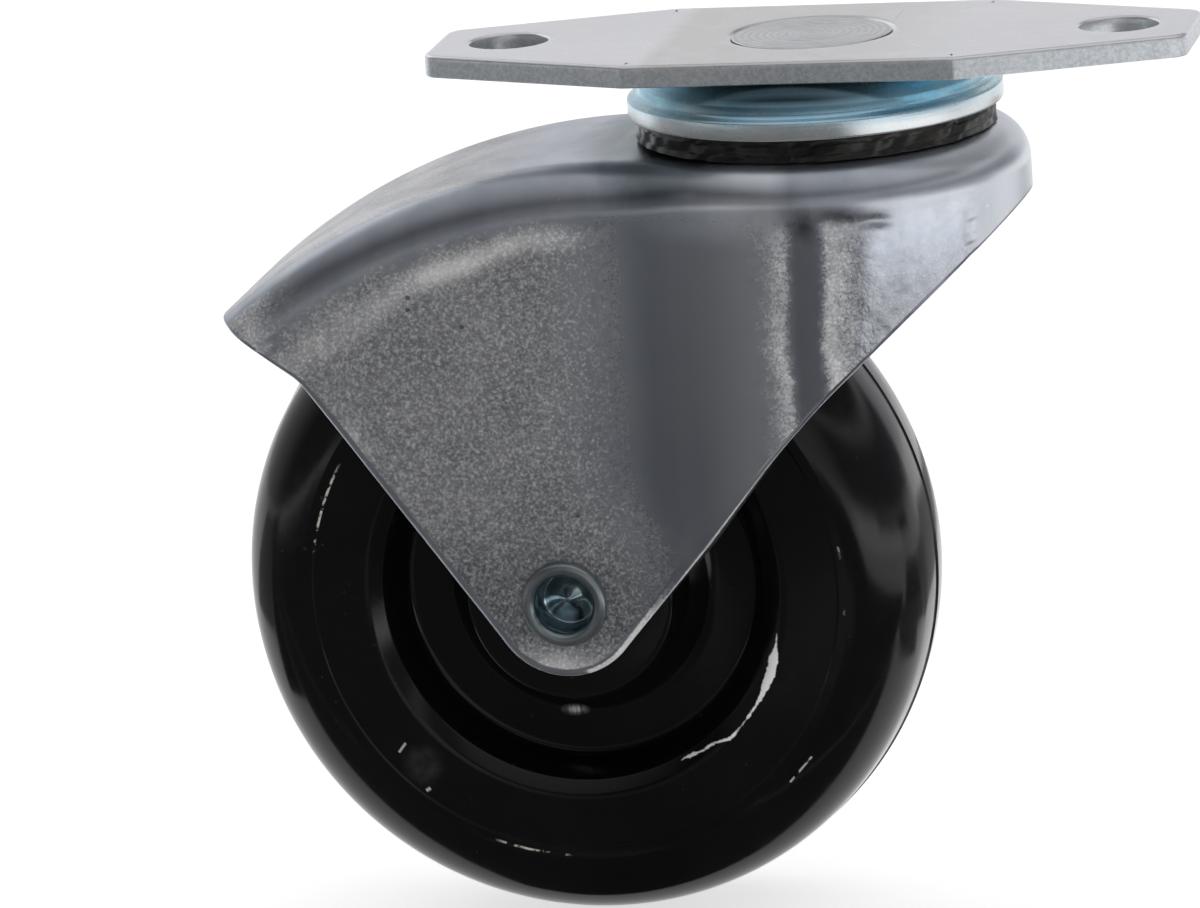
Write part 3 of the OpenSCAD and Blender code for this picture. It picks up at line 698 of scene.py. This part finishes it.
def build_fork():
    A, N, half = fork_mesh()
    ni, nj = A.shape[:2]
    rb = 0.15                        # sharp burr side of the sheared edge
    verts, faces, grain = [], [], []

    def add(p, g):
        verts.append(p)
        grain.append(g if isinstance(g, tuple) else (g, 0.0, 0.0))
        return len(verts) - 1

    def grain_at(i, j, p):
        """How satin, how much a painted highlight lightens it (under the shoulder, near the tail, on the satin lines,
        at the back of the hood), and how much like orange peel the sheet is at a point.
        """
        x, y, z = p
        g = b = o = 0.0
        if j > 30 and x < -9:
            hood = HOOD_Z + math.sqrt(max((HOOD_R - SHOULDER_R) ** 2 - (x - HOOD_X) ** 2, 1.0)) if x < HOOD_X else HOOD_TOP - SHOULDER_R
            down = hood - z
            tail = float(smooth((-40 - x) / 12))
            low = float(smooth((-44 - z) / 18))
            g = float(smooth((down + 0.8 + 1.1 * rough_at(x, 0, z, 0.30)) / 2.6))
            g = max(g, 0.7 * float(smooth((-56 - x) / 7)))
            g *= 1 - float(smooth((x + 31.0 - 7.0 * low) / (13.0 + 3.0 * low)))
            # b is painted highlight: a light band under the shoulder, lighter higher up, and glint patches near the
            # tail and low on the leg
            b = bell((down - 2.5 - 2.4 * tail - 0.8 * rough_at(x, 3, 0, 0.12)) / (1.7 + 1.6 * tail)) * float(1 - smooth((x + 27) / 8)) * (0.82 - 0.30 * tail)
            b = max(b, 0.22 * float(smooth((z + 66) / 22)))
            b = max(b, 0.9 * bell(math.hypot((x + 53.6) / 3.2, (z + 43.0) / 3.0)))
            b = max(b, 0.8 * float(smooth((-58 - x) / 6)) * float(1 - smooth((down - 1.0) / 2)))
            b = max(b, 0.8 * bell(math.hypot((x + 30.0) / 7.0, (z + 69.0) / 2.2)))
        elif j > 40 and x > -9 and abs(y) > 9:
            ph = math.degrees(math.atan2(x, abs(y)))
            fade = float(smooth((j - 42) / 8))
            rag = 1.3 * rough_at(0, 0, z, 0.16) + 0.5 * rough_at(0, 0, z, 0.7)
            # two satin lines beside a smooth dark one: each sharp towards it and fading away from it
            one = ph + 1.4 - rag
            two = ph - 10.6 - rag
            one = bell(one / (8.0 if one < 0 else 2.0))
            two = bell(two / (2.0 if two < 0 else 9.0))
            lines = one + two
            low = float(smooth((-17.0 - z) / 12.0))
            g = min(0.80, 0.62 * one + 0.80 * two) * fade
            # b lightens the satin lines with a painted highlight
            b = min(1.0, one ** 3 + two) * fade
            right = float(smooth((ph - 15) / 8)) * float(1 - smooth((ph - 53) / 3))
            g = max(g, 0.55 * right * low * fade)
            o = max(right * (0.25 + 0.75 * low), 0.3 * lines) * fade
        elif j <= 26 and x < -28:
            # dull, lightly abraded back of the hood, lightened with a painted highlight
            g = 0.75 * float(smooth((-33 - x + 2.0 * math.sin(0.8 * y)) / 6.0))
            b = 1.0
        return g, b, o

    outer = -np.ones((ni, nj), int)
    inner = -np.ones((ni, nj), int)
    # boundary loop: along the tail's end on the -Y half, down to the wall's corner, along the cut, and back
    loop = [(0, j) for j in range(0, nj)] + [(i, nj - 1) for i in range(1, ni)] + [(ni - 1, j) for j in range(nj - 2, -1, -1)]
    on_loop = set(loop)
    E = np.array([A[i, j] for i, j in loop])
    NB = np.array([N[i, j] for i, j in loop])
    # neighbours along the loop, skipping repeats
    m = len(loop)
    inward = np.zeros((m, 3))
    for k in range(m):
        a = b = k
        while np.linalg.norm(E[(a - 1) % m] - E[k]) < 1e-6:
            a = (a - 1) % m
            if a == k:
                break
        while np.linalg.norm(E[(b + 1) % m] - E[k]) < 1e-6:
            b = (b + 1) % m
            if b == k:
                break
        t = E[(b + 1) % m] - E[(a - 1) % m]
        t /= np.linalg.norm(t)
        s = np.cross(NB[k], t)
        s /= np.linalg.norm(s)
        inward[k] = s
    # one sign for the whole loop: towards the sheet
    k0 = nj + half // 2
    i0, j0 = loop[k0]
    if inward[k0] @ (A[i0, j0 - 3] - A[i0, j0]) < 0:
        inward *= -1
    # die roll on the outer side: fuller along the leg's leading edge
    roll = np.array([1.0 - 0.5 * float(smooth((E[k][0] + 12) / 10)) - 0.55 * float(smooth((E[k][2] + 40) / 8)) * float(E[k][0] < -30) for k in range(m)])
    shift, roll_at = {}, {}
    for k, (i, j) in enumerate(loop):
        shift[(i, j)], roll_at[(i, j)] = inward[k], roll[k]
    # the wall's outer points are spread again between the shoulder and where the roll begins
    O = A.copy()
    top = nj - 65
    for i in range(ni):
        e, st = A[i, nj - 1], A[i, top]
        v = shift[(i, nj - 1)] * roll_at[(i, nj - 1)]
        far = np.linalg.norm(st - e)
        v = v * min(1.0, 0.6 * far / max(np.linalg.norm(v), 1e-9))
        for j in range(top, nj):
            O[i, j] = A[i, j] + v * (j - top) / 64
    for j in range(top + 1):
        for i in range(5):
            O[i, j] = O[i, j] + shift[(0, j)] * roll_at[(0, j)] * (1 - i / 5)
            O[ni - 1 - i, j] = O[ni - 1 - i, j] + shift[(ni - 1, j)] * roll_at[(ni - 1, j)] * (1 - i / 5)
    for i in range(ni):
        for j in range(nj):
            p = O[i, j]
            outer[i, j] = add(p, grain_at(i, j, p))
            q = A[i, j] - N[i, j] * SHEET
            if (i, j) in on_loop:
                q = q + shift[(i, j)] * rb
            inner[i, j] = add(q, 0.0)
    for i in range(ni - 1):
        for j in range(nj - 1):
            faces.append((outer[i, j], outer[i, j + 1], outer[i + 1, j + 1], outer[i + 1, j]))
            faces.append((inner[i, j], inner[i + 1, j], inner[i + 1, j + 1], inner[i, j + 1]))
    # rim: rolled edge, cut face, burr edge
    rows = [[outer[i, j] for i, j in loop]]
    for q in range(1, 7):
        ph = math.pi / 2 * q / 6
        row = []
        for k, (i, j) in enumerate(loop):
            p = E[k] + inward[k] * roll[k] * (1 - math.sin(ph)) - NB[k] * 0.6 * roll[k] * (1 - math.cos(ph))
            # satin on the sheared land, and a painted highlight along the rolled edge of the leg's leading side
            cut_land_and_highlight = 1.0 if q >= 5 else 0.0
            if q >= 2 and inward[k][0] < -0.2:
                cut_land_and_highlight = max(cut_land_and_highlight, float(smooth((-14 - E[k][0]) / 7)))
            row.append(add(p, (cut_land_and_highlight, cut_land_and_highlight, 0.0)))
        rows.append(row)
    for dep in (1.1, SHEET - rb):
        rows.append([add(E[k] - NB[k] * dep, 0.0) for k in range(m)])
    rows.append([inner[i, j] for i, j in loop])
    for ra, rb_ in zip(rows[:-1], rows[1:]):
        for k in range(m - 1):
            faces.append((ra[k], ra[k + 1], rb_[k + 1], rb_[k]))
        # the loop closes across the spine at the tail
        faces.append((ra[m - 1], ra[0], rb_[0], rb_[m - 1]))
    # rim of the kingpin's hole
    for i in range(ni - 1):
        a, b = A[i, 0], A[i + 1, 0]
        if math.hypot(a[0], a[1]) < PIN_HOLE_R + 1e-6 and math.hypot(b[0], b[1]) < PIN_HOLE_R + 1e-6:
            faces.append((outer[i, 0], outer[i + 1, 0], inner[i + 1, 0], inner[i, 0]))
    me = bpy.data.meshes.new("fork_shell")
    me.from_pydata([tuple(float(c) * MM for c in v) for v in verts], [], faces)
    vals = np.array(grain, np.float32)
    for col, label in enumerate(("grain", "band", "peel")):
        me.attributes.new(label, "FLOAT", "POINT").data.foreach_set("value", np.ascontiguousarray(vals[:, col]))
    me.validate()
    ob = bpy.data.objects.new("fork_shell", me)
    bpy.context.scene.collection.objects.link(ob)
    bm = bmesh.new()
    bm.from_mesh(me)
    bmesh.ops.remove_doubles(bm, verts=bm.verts, dist=2e-6)
    bmesh.ops.dissolve_degenerate(bm, edges=bm.edges, dist=1e-6)
    bmesh.ops.recalc_face_normals(bm, faces=bm.faces)
    for f in bm.faces:
        f.smooth = True
    bm.to_mesh(me)
    bm.free()
    me.materials.append(MAT_FORK)
    # axle holes through both legs
    cut = lathe("axle_cutter", [(0, -30), (4.06, -30), (4.06, 30), (0, 30)], MAT_FORK, "Y", (AX, 0, AZ), 64)
    mod = ob.modifiers.new("holes", "BOOLEAN")
    mod.operation, mod.object, mod.solver = "DIFFERENCE", cut, "EXACT"
    bpy.context.view_layer.update()
    dg = bpy.context.evaluated_depsgraph_get()
    done = bpy.data.meshes.new_from_object(ob.evaluated_get(dg), preserve_all_data_layers=True, depsgraph=dg)
    ob.modifiers.clear()
    ob.data = done
    bpy.data.objects.remove(cut)
    bm = bmesh.new()
    bm.from_mesh(done)
    for e in bm.edges:
        if len(e.link_faces) == 2 and e.calc_face_angle(0) > math.radians(50):
            e.smooth = False
    bm.to_mesh(done)
    bm.free()
    return ob


fork = build_fork()
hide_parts("fork")
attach(fork, "fork")


# ---------------------------------------------------------------- top plate
def build_plate():
    l, b, f, k, t = 43.5, 17.25, 18.75, 7.5, 2.5
    corners = [(-l, -k), (-f, -b), (f, -b), (l, -k), (l, k), (f, b), (-f, b), (-l, k)]
    radii = [2.5, 1.2, 1.2, 2.5, 2.5, 1.2, 1.2, 2.5]
    pts = fillet_path([corners[-1]] + corners + [corners[0]], [0] + radii + [0], 0.3)[1:-1]
    pts = densify(np.vstack([pts, pts[:1]]), 0.7)[:-1]
    n = len(pts)
    prev, nxt = np.roll(pts, 1, axis=0), np.roll(pts, -1, axis=0)
    tan = nxt - prev
    tan /= np.linalg.norm(tan, axis=1)[:, None]
    nrm = np.stack([tan[:, 1], -tan[:, 0]], axis=1)          # outward for an anticlockwise outline
    verts, faces, edge = [], [], []

    def ring(off, z, e, src=None):
        base = len(verts)
        for p, q in zip(pts, nrm):
            v = p - q * off
            verts.append((v[0], v[1], z))
            edge.append(e)
        return [base + i for i in range(n)]

    roll, burr = 0.55, 0.12
    rows = [ring(2.2, 0.0, 0.0), ring(1.2, 0.0, 0.0)]
    for q in range(0, 7):
        a = math.pi / 2 * q / 6
        rows.append(ring(roll * (1 - math.sin(a)), -roll * 0.55 * (1 - math.cos(a)), 0.0 if q < 5 else 0.6))
    for z in (-0.6, -1.2, -1.8, -t + burr):
        rows.append(ring(0.0, z, 1.0))
    rows.append(ring(burr, -t, 0.5))
    rows.append(ring(1.2, -t, 0.0))
    rows.append(ring(2.2, -t, 0.0))
    for ra, rb in zip(rows[:-1], rows[1:]):
        for i in range(n):
            j = (i + 1) % n
            faces.append((ra[i], ra[j], rb[j], rb[i]))

    # faces with their holes, filled as one sheet each
    def circle(r, cx, z, m=64, e=0.0):
        base = len(verts)
        for i in range(m):
            a = 2 * math.pi * i / m
            verts.append((cx + r * math.cos(a), r * math.sin(a), z))
            edge.append(e)
        return [base + i for i in range(m)]

    def band(ra, rb):
        for i in range(len(ra)):
            j = (i + 1) % len(ra)
            faces.append((ra[i], ra[j], rb[j], rb[i]))

    top_loops, low_loops = [rows[0]], [rows[-1]]
    for cx in (-35.0, 35.0):
        h = [circle(4.5 + 0.35 * (1 - math.sin(a)) , cx, -0.3 * (1 - math.cos(a))) for a in np.linspace(0, math.pi / 2, 6)]
        outer = circle(5.6, cx, 0.0)
        band(outer, h[0])
        for x, y in zip(h[:-1], h[1:]):
            band(x, y)
        wall = [circle(4.5, cx, z, e=0.8) for z in (-0.9, -1.6, -2.3)]
        seq = [h[-1]] + wall + [circle(4.62, cx, -t), circle(5.6, cx, -t)]
        for x, y in zip(seq[:-1], seq[1:]):
            band(x, y)
        top_loops.append(outer)
        low_loops.append(seq[-1])
    # countersink for the kingpin
    lip = [circle(r, 0, z, 96) for r, z in ((10.6, 0.0), (9.75, 0.0), (9.60, -0.03), (9.50, -0.10), (9.42, -0.16), (5.95, -1.62), (5.95, -t), (9.0, -t))]
    for x, y in zip(lip[:-1], lip[1:]):
        band(x, y)
    top_loops.append(lip[0])
    low_loops.append(lip[-1])
    me = bpy.data.meshes.new("plate_sheet")
    me.from_pydata([tuple(float(c) * MM for c in v) for v in verts], [], faces)
    lay = me.attributes.new("edge", "FLOAT", "POINT")
    lay.data.foreach_set("value", np.array(edge, np.float32))
    bm = bmesh.new()
    bm.from_mesh(me)
    bm.verts.ensure_lookup_table()
    for loops in (top_loops, low_loops):
        es = []
        for lp in loops:
            for i in range(len(lp)):
                a, b2 = bm.verts[lp[i]], bm.verts[lp[(i + 1) % len(lp)]]
                e = bm.edges.get((a, b2)) or bm.edges.new((a, b2))
                es.append(e)
        bmesh.ops.triangle_fill(bm, use_beauty=True, use_dissolve=False, edges=es)
    bmesh.ops.recalc_face_normals(bm, faces=bm.faces)
    for fc in bm.faces:
        fc.smooth = True
    for e in bm.edges:
        if len(e.link_faces) == 2 and e.calc_face_angle(0) > math.radians(38):
            e.smooth = False
    bm.to_mesh(me)
    bm.free()
    me.materials.append(MAT_PLATE)
    ob = bpy.data.objects.new("plate_sheet", me)
    bpy.context.scene.collection.objects.link(ob)
    return ob


plate = build_plate()
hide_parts("top_plate")
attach(plate, "head")

# ---------------------------------------------------------------- kingpin
head_top = [(0.0, -0.03)]
for i in range(1, 60):
    r = 8.85 * i / 59
    head_top.append((r, -0.05 - 0.008 * math.sin(r * 7.4) - 0.02 * math.exp(-((r - 4.6) / 0.7) ** 2)))
pin_path = head_top + [(8.93, -0.06), (9.02, -0.09), (9.07, -0.13)] + [(5.85, -1.56), (5.8, -1.8), (5.8, -4.0), (6.3, -4.0), (6.5, -4.2), (6.5, -20.0), (8.7, -20.0)]
pin_path += [tuple(p) for p in fillet_path([(8.7, -20.0), (9.0, -20.2), (9.0, -21.6), (7.9, -22.5), (0, -22.5)], [0, 0.2, 0.9, 0.6, 0], 0.15)[1:]]
kingpin = lathe("kingpin_rivet", pin_path, MAT_PIN, n=128, sharp=50)
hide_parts("kingpin")
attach(kingpin, "head")

# ---------------------------------------------------------------- upper cup
BC = np.array([15.6, -7.87])
dome = [tuple(BC + 5.37 * np.array([math.cos(a), math.sin(a)])) for a in np.linspace(math.radians(90), math.radians(37), 26)]
dome = [(5.86, -4.0), (5.86, -2.5)] + dome
rim = fillet_path([dome[-1], (20.15, -5.75), (21.05, -6.02), (21.3, -6.2), (21.3, -8.2), (19.65, -8.2), (19.47, -7.87)],
                  [0, 0.7, 0.25, 0.22, 0.3, 0.12, 0], 0.08)
inside = [tuple(BC + 3.87 * np.array([math.cos(a), math.sin(a)])) for a in np.linspace(0.02, math.pi / 2, 24)]
cup_path = dome + [tuple(p) for p in rim[1:]] + inside


def cup_wobble(a, i):
    return 0.02 * math.sin(3 * a + 0.6) + 0.012 * math.sin(7 * a), 0.0


cup = lathe("upper_race_cup", cup_path, MAT_CUP, n=192, wobble=None, closed=True, sharp=55)
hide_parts("upper_cup")
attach(cup, "head")

# ---------------------------------------------------------------- axle rivet
rl = LEG_Y
rivet_path = [(0.0, -rl + 1.75)] + [(2.85 * i / 8, -rl + 1.75 + 1.25 * i / 8) for i in range(1, 9)]
rivet_path += [tuple(p) for p in fillet_path(
    [(2.85, -rl + 3.0), (3.02, -rl + 2.9), (3.18, -rl + 0.6), (3.34, -rl - 0.45), (3.74, -rl - 0.98), (4.25, -rl - 1.05), (4.78, -rl - 0.80), (4.95, -rl - 0.25), (4.95, -rl - 0.02), (4.0, -rl - 0.02), (4.0, rl + 0.02), (6.4, rl + 0.02), (6.5, rl + 0.15), (6.5, rl + 0.7), (5.2, rl + 2.0), (0, rl + 2.5)],
    [0, 0.1, 0.5, 0.7, 0.45, 0.45, 0.4, 0.12, 0.02, 0, 0, 0.05, 0.1, 1.2, 6.0, 0], 0.1)[1:]]
rivet = lathe("axle_rivet_body", rivet_path, MAT_RIVET, "Y", (AX, 0, AZ), 128, sharp=50)
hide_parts("axle_rivet")
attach(rivet, "fork")


# ---------------------------------------------------------------- wheel
def build_wheel():
    R, y, ring_r = 39.93, 12.98, 31.3
    rc, rs, al = 40.0, 9.5, math.radians(6.74)          # crown and shoulder radii, and where they meet
    sc = np.array([R - rc + (rc - rs) * math.cos(al), (rc - rs) * math.sin(al)])

    def side(sign, dr):
        """From the parting line out to the hub's bore, for one half."""
        tread = [(R - rc + rc * math.cos(b) + dr, sign * rc * math.sin(b)) for b in np.linspace(0.006, al, 14)]
        tread += [(sc[0] + rs * math.cos(b) + dr, sign * (sc[1] + rs * math.sin(b))) for b in np.linspace(al, math.radians(76), 60)[1:]]
        rest = fillet_path([tread[-1], (ring_r + 0.35, sign * (y - 0.02)), (ring_r - 0.75, sign * y), (ring_r - 0.95, sign * (y - 0.10)), (24.2, sign * (y - 0.06)),
                            (22.35, sign * (y - 1.3)), (20.45, sign * 7.4), (15.2, sign * 7.4), (12.7, sign * 9.6), (11.9, sign * 15.7), (6.06, sign * 15.7)],
                           [0, 0.5, 0.25, 0.2, 1.6, 1.4, 1.2, 2.2, 0.4, 0.8, 0], 0.14)
        return tread + [tuple(p) for p in rest[1:]]

    near, far = side(-1, -0.12), side(1, 0.0)
    flash = [(R - 0.10, -0.16), (R + 0.01, -0.07), (39.99, 0.0), (R + 0.03, 0.08), (R, 0.16)]
    path = near[::-1] + flash + far
    ob = lathe("wheel_moulding", path, MAT_WHEEL, "Y", (AX, 0, AZ), 288, closed=True, sharp=60)
    return ob


wheel = build_wheel()
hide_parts("wheel")
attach(wheel, "wheel")

# ---------------------------------------------------------------- grease in the ball track
def build_grease():
    prof = fillet_path([(19.2, -8.25), (20.35, -8.28), (20.5, -9.0), (20.45, -10.1), (20.75, -10.82), (19.2, -10.82), (19.2, -8.25)],
                       [0, 0.35, 0.5, 0.5, 0.12, 0.1, 0], 0.12)[:-1]
    ph = rng.uniform(0, 2 * math.pi, 9)
    am = rng.uniform(0.03, 0.11, 9)
    fr = [3, 5, 8, 11, 15, 19, 23, 31, 43]

    def wob(a, i):
        r = prof[i][0]
        k = max(0.0, (r - 19.3) / 1.1)
        s = sum(m * math.sin(f * a + p + 0.35 * i) for m, f, p in zip(am, fr, ph))
        return -0.22 * k + 0.42 * k * s, 0.0

    return lathe("track_grease", [tuple(p) for p in prof], MAT_GREASE, "Z", (0, 0, 0), 288, wobble=wob, closed=True)


grease = build_grease()
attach(grease, "head")

# ---------------------------------------------------------------- carried-over CAD nodes
for name, mat in (("upper_balls", MAT_BALL), ("lower_balls", MAT_BALL), ("lower_cup", MAT_RACE), ("axle_tube", MAT_TUBE)):
    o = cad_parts[name]
    o.data.materials.clear()
    o.data.materials.append(mat)

# ---------------------------------------------------------------- camera
CAM_AZ, CAM_EL, CAM_ROLL, CAM_D, CAM_F = 12.0, 13.37, -3.85, 1000.0, 8681.0
OX, OY = -4.41, 109.55
a, e, r = (math.radians(v) for v in (CAM_AZ, CAM_EL, CAM_ROLL))
back = Vector((math.sin(a) * math.cos(e), -math.cos(a) * math.cos(e), math.sin(e)))
right0 = Vector((math.cos(a), math.sin(a), 0))
up0 = back.cross(right0)
right = math.cos(r) * right0 + math.sin(r) * up0
up = -math.sin(r) * right0 + math.cos(r) * up0
loc = Vector((AX, 0, AZ)) + back * CAM_D - right * (OX * CAM_D / CAM_F) + up * (OY * CAM_D / CAM_F)
cam_data = bpy.data.cameras.new("camera")
cam_data.sensor_width = 36.0
cam_data.lens = CAM_F / 1200.0 * 36.0
cam_data.clip_start, cam_data.clip_end = 0.01, 20.0
cam = bpy.data.objects.new("camera", cam_data)
bpy.context.scene.collection.objects.link(cam)
rot = Matrix((right, up, back)).transposed()
cam.matrix_world = Matrix.Translation(loc * MM) @ rot.to_4x4()
bpy.context.scene.camera = cam

# ---------------------------------------------------------------- floor, light
def sheet(name, x0, x1, y0, y1, z, low, high, glow):
    me = bpy.data.meshes.new(name)
    me.from_pydata([(x0, y0, z), (x1, y0, z), (x1, y1, z), (x0, y1, z)], [], [(0, 1, 2, 3)])
    ob = bpy.data.objects.new(name, me)
    bpy.context.scene.collection.objects.link(ob)
    m = Mat(name + "_paper").set(Roughness=0.8, Specular_IOR_Level=0.2, Emission_Strength=glow)
    tone = m.mix(m.ramp(m.noise(9, detail=4.0), [(0.3, 0.0), (0.7, 1.0)]), (low, low, low), (high, high, high))
    me.materials.append(m.out(Base_Color=tone, Emission_Color=tone))
    return ob


floor = sheet("floor", -4.0, 4.0, -4.0, 4.0, -0.1015, 0.90, 0.92, 0.74)


def flag(name, pts, tone, up=0.0):
    """A dark card for the reflections, out of the picture, as (across, away) points from under the wheel."""
    ca, sa = math.cos(math.radians(12)), math.sin(math.radians(12))
    me = bpy.data.meshes.new(name)
    me.from_pydata([(AX * MM + u * ca - w * sa, u * sa + w * ca, -0.1012 + up) for u, w in pts], [], [tuple(range(len(pts)))])
    ob = bpy.data.objects.new(name, me)
    bpy.context.scene.collection.objects.link(ob)
    m = Mat(name + "_card").set(Roughness=0.9, Specular_IOR_Level=0.1)
    tn = m.mix(m.ramp(m.noise(30, detail=3.0), [(0.3, 0.0), (0.7, 1.0)]), (tone * 0.9,) * 3, (tone * 1.1,) * 3)
    me.materials.append(m.out(Base_Color=tn))
    # the card shows in reflections only: the floor itself stays plain and evenly lit
    ob.visible_camera = ob.visible_diffuse = ob.visible_shadow = False
    ob.visible_transmission = ob.visible_volume_scatter = False
    return ob


flags = [flag("flag_front", [(-0.65, -1.3), (0.30, -1.3), (0.115, -0.20), (0.16, -0.038), (-0.65, -0.038)], 0.16),
         flag("flag_foot", [(-0.30, -0.0375), (0.098, -0.0375), (0.02, -0.0135), (-0.012, -0.0075), (-0.30, -0.0075)], 0.20),
         flag("flag_left", [(-1.3, -0.0375), (-0.301, -0.0375), (-0.301, 0.02), (-1.3, 0.20)], 0.13),
         flag("flag_near", [(-0.30, -0.007), (-0.083, -0.007), (-0.083, 0.02), (-0.30, 0.02)], 0.12),
         flag("flag_right", [(0.086, -0.020), (0.108, -0.0375), (0.108, 0.02), (0.086, 0.02)], 0.40),
         flag("flag_side", [(0.138, -0.03), (0.26, -0.03), (0.26, 0.05), (0.138, 0.05)], 0.30),
         flag("flag_back", [(0.100, 0.051), (0.26, 0.051), (0.34, 0.34), (0.112, 0.34)], 0.60),
         flag("flag_far", [(0.70, -0.60), (3.9, -3.0), (3.9, 0.8), (0.70, 0.15)], 0.35),
         flag("flag_west", [(-1.3, 0.201), (-0.301, 0.021), (-0.13, 0.021), (-0.13, 0.10), (-1.3, 0.60)], 0.58),
         flag("card_gap", [(0.1085, -0.0375), (0.1375, -0.0375), (0.1375, 0.05), (0.1085, 0.05)], 0.48),
         flag("card_mid", [(-0.040, -0.20), (0.040, -0.20), (0.040, -0.11), (-0.040, -0.11)], 0.45, 0.0002)]


def area(name, az, el, dist, sx, sy, radiance, color=(1, 1, 1), aim=(-0.012, 0, -0.045), soft=0.2):
    """A soft box seen from the part at azimuth az (from -Y towards +X) and elevation el."""
    d = bpy.data.lights.new(name, "AREA")
    d.shape, d.size, d.size_y = "RECTANGLE", sx, sy
    d.energy = radiance * math.pi * sx * sy
    d.color = color
    # the box fades out towards its edges
    d.use_nodes = True
    nt = d.node_tree
    geo = nt.nodes.new("ShaderNodeNewGeometry")
    sep = nt.nodes.new("ShaderNodeSeparateXYZ")
    nt.links.new(geo.outputs["Parametric"], sep.inputs[0])
    fade = None
    for c_ in ("X", "Y"):
        one = nt.nodes.new("ShaderNodeMath")
        one.operation = "SUBTRACT"
        one.inputs[0].default_value = 1.0
        nt.links.new(sep.outputs[c_], one.inputs[1])
        low_ = nt.nodes.new("ShaderNodeMath")
        low_.operation = "MINIMUM"
        nt.links.new(sep.outputs[c_], low_.inputs[0])
        nt.links.new(one.outputs[0], low_.inputs[1])
        ease = nt.nodes.new("ShaderNodeMapRange")
        ease.interpolation_type = "SMOOTHSTEP"
        ease.inputs["From Max"].default_value = soft
        nt.links.new(low_.outputs[0], ease.inputs["Value"])
        if fade is None:
            fade = ease.outputs[0]
        else:
            both = nt.nodes.new("ShaderNodeMath")
            both.operation = "MULTIPLY"
            nt.links.new(fade, both.inputs[0])
            nt.links.new(ease.outputs[0], both.inputs[1])
            fade = both.outputs[0]
    nt.links.new(fade, nt.nodes["Emission"].inputs["Strength"])
    o = bpy.data.objects.new(name, d)
    bpy.context.scene.collection.objects.link(o)
    a_, e_ = math.radians(az), math.radians(el)
    v = Vector((math.sin(a_) * math.cos(e_), -math.cos(a_) * math.cos(e_), math.sin(e_)))
    o.location = Vector(aim) + v * dist
    o.rotation_euler = (-v).to_track_quat("-Z", "Y").to_euler()
    return o


SKIRT = (0.0, -0.024, -0.028)
area("right_panel", 67, -10.2, 0.32, 0.43, 0.05, 0.55, (0.97, 0.99, 1.0), aim=SKIRT, soft=0.12)
area("left_back", -132, 34, 1.0, 0.95, 0.55, 0.8)

world = bpy.data.worlds.new("studio")
bpy.context.scene.world = world
world.use_nodes = True
wt = world.node_tree
bg = wt.nodes["Background"]
wc = wt.nodes.new("ShaderNodeTexCoord")
ws = wt.nodes.new("ShaderNodeSeparateXYZ")
wt.links.new(wc.outputs["Generated"], ws.inputs[0])


def wramp(sock, stops):
    k = wt.nodes.new("ShaderNodeMath")
    k.operation = "MULTIPLY_ADD"
    k.inputs[1].default_value, k.inputs[2].default_value = 0.5, 0.5
    wt.links.new(sock, k.inputs[0])
    n = wt.nodes.new("ShaderNodeValToRGB")
    el_ = n.color_ramp.elements
    while len(el_) < len(stops):
        el_.new(0.5)
    for q, (p_, c_) in zip(el_, stops):
        q.position = p_ * 0.5 + 0.5
        q.color = (c_, c_, c_ * 1.02, 1)
    wt.links.new(k.outputs[0], n.inputs["Fac"])
    return n.outputs["Color"]


lean = wt.nodes.new("ShaderNodeVectorMath")
lean.operation = "DOT_PRODUCT"
lean.inputs[1].default_value = (0.70, 0.72, 0.0)
wt.links.new(wc.outputs["Generated"], lean.inputs[0])
depth = wramp(lean.outputs["Value"], [(-0.86, 0.12), (-0.62, 0.42), (-0.25, 0.60), (0.30, 0.82)])
height = wramp(ws.outputs["Z"], [(0.0, 1.0), (0.35, 1.0), (0.42, 0.15), (0.53, 0.20), (0.65, 0.62), (0.84, 0.78), (1.0, 0.90)])
wm = wt.nodes.new("ShaderNodeMix")
wm.data_type, wm.blend_type = "RGBA", "MULTIPLY"
wm.inputs["Factor"].default_value = 1.0
wt.links.new(depth, wm.inputs[6])
wt.links.new(height, wm.inputs[7])
# the paper sweep on the left stays light near the horizon
low_ = wramp(ws.outputs["Z"], [(0.06, 1.0), (0.22, 0.0)])
west = wramp(ws.outputs["X"], [(-0.80, 0.10), (-0.40, 0.0)])
wl = wt.nodes.new("ShaderNodeMix")
wl.data_type, wl.blend_type = "RGBA", "MULTIPLY"
wl.inputs["Factor"].default_value = 1.0
wt.links.new(low_, wl.inputs[6])
wt.links.new(west, wl.inputs[7])
wx = wt.nodes.new("ShaderNodeMix")
wx.data_type, wx.blend_type = "RGBA", "LIGHTEN"
wx.inputs["Factor"].default_value = 1.0
dim_z = wramp(ws.outputs["Z"], [(0.0, 0.3), (0.04, 1.0), (0.26, 1.0), (0.36, 0.0)])
dim_x = wramp(ws.outputs["X"], [(0.35, 0.0), (0.65, 1.0)])
dm = wt.nodes.new("ShaderNodeMath")
dm.operation = "MULTIPLY"
wt.links.new(dim_z, dm.inputs[0])
wt.links.new(dim_x, dm.inputs[1])
wd = wt.nodes.new("ShaderNodeMix")
wd.data_type, wd.blend_type = "RGBA", "MULTIPLY"
wt.links.new(dm.outputs[0], wd.inputs["Factor"])
wt.links.new(wm.outputs[2], wd.inputs[6])
wd.inputs[7].default_value = (0.22, 0.22, 0.23, 1)
wt.links.new(wd.outputs[2], wx.inputs[6])
wt.links.new(wl.outputs[2], wx.inputs[7])
wt.links.new(wx.outputs[2], bg.inputs["Color"])
bg.inputs["Strength"].default_value = 1.0

bpy.context.scene.view_settings.view_transform = "Standard"
bpy.context.scene.view_settings.look = "None"
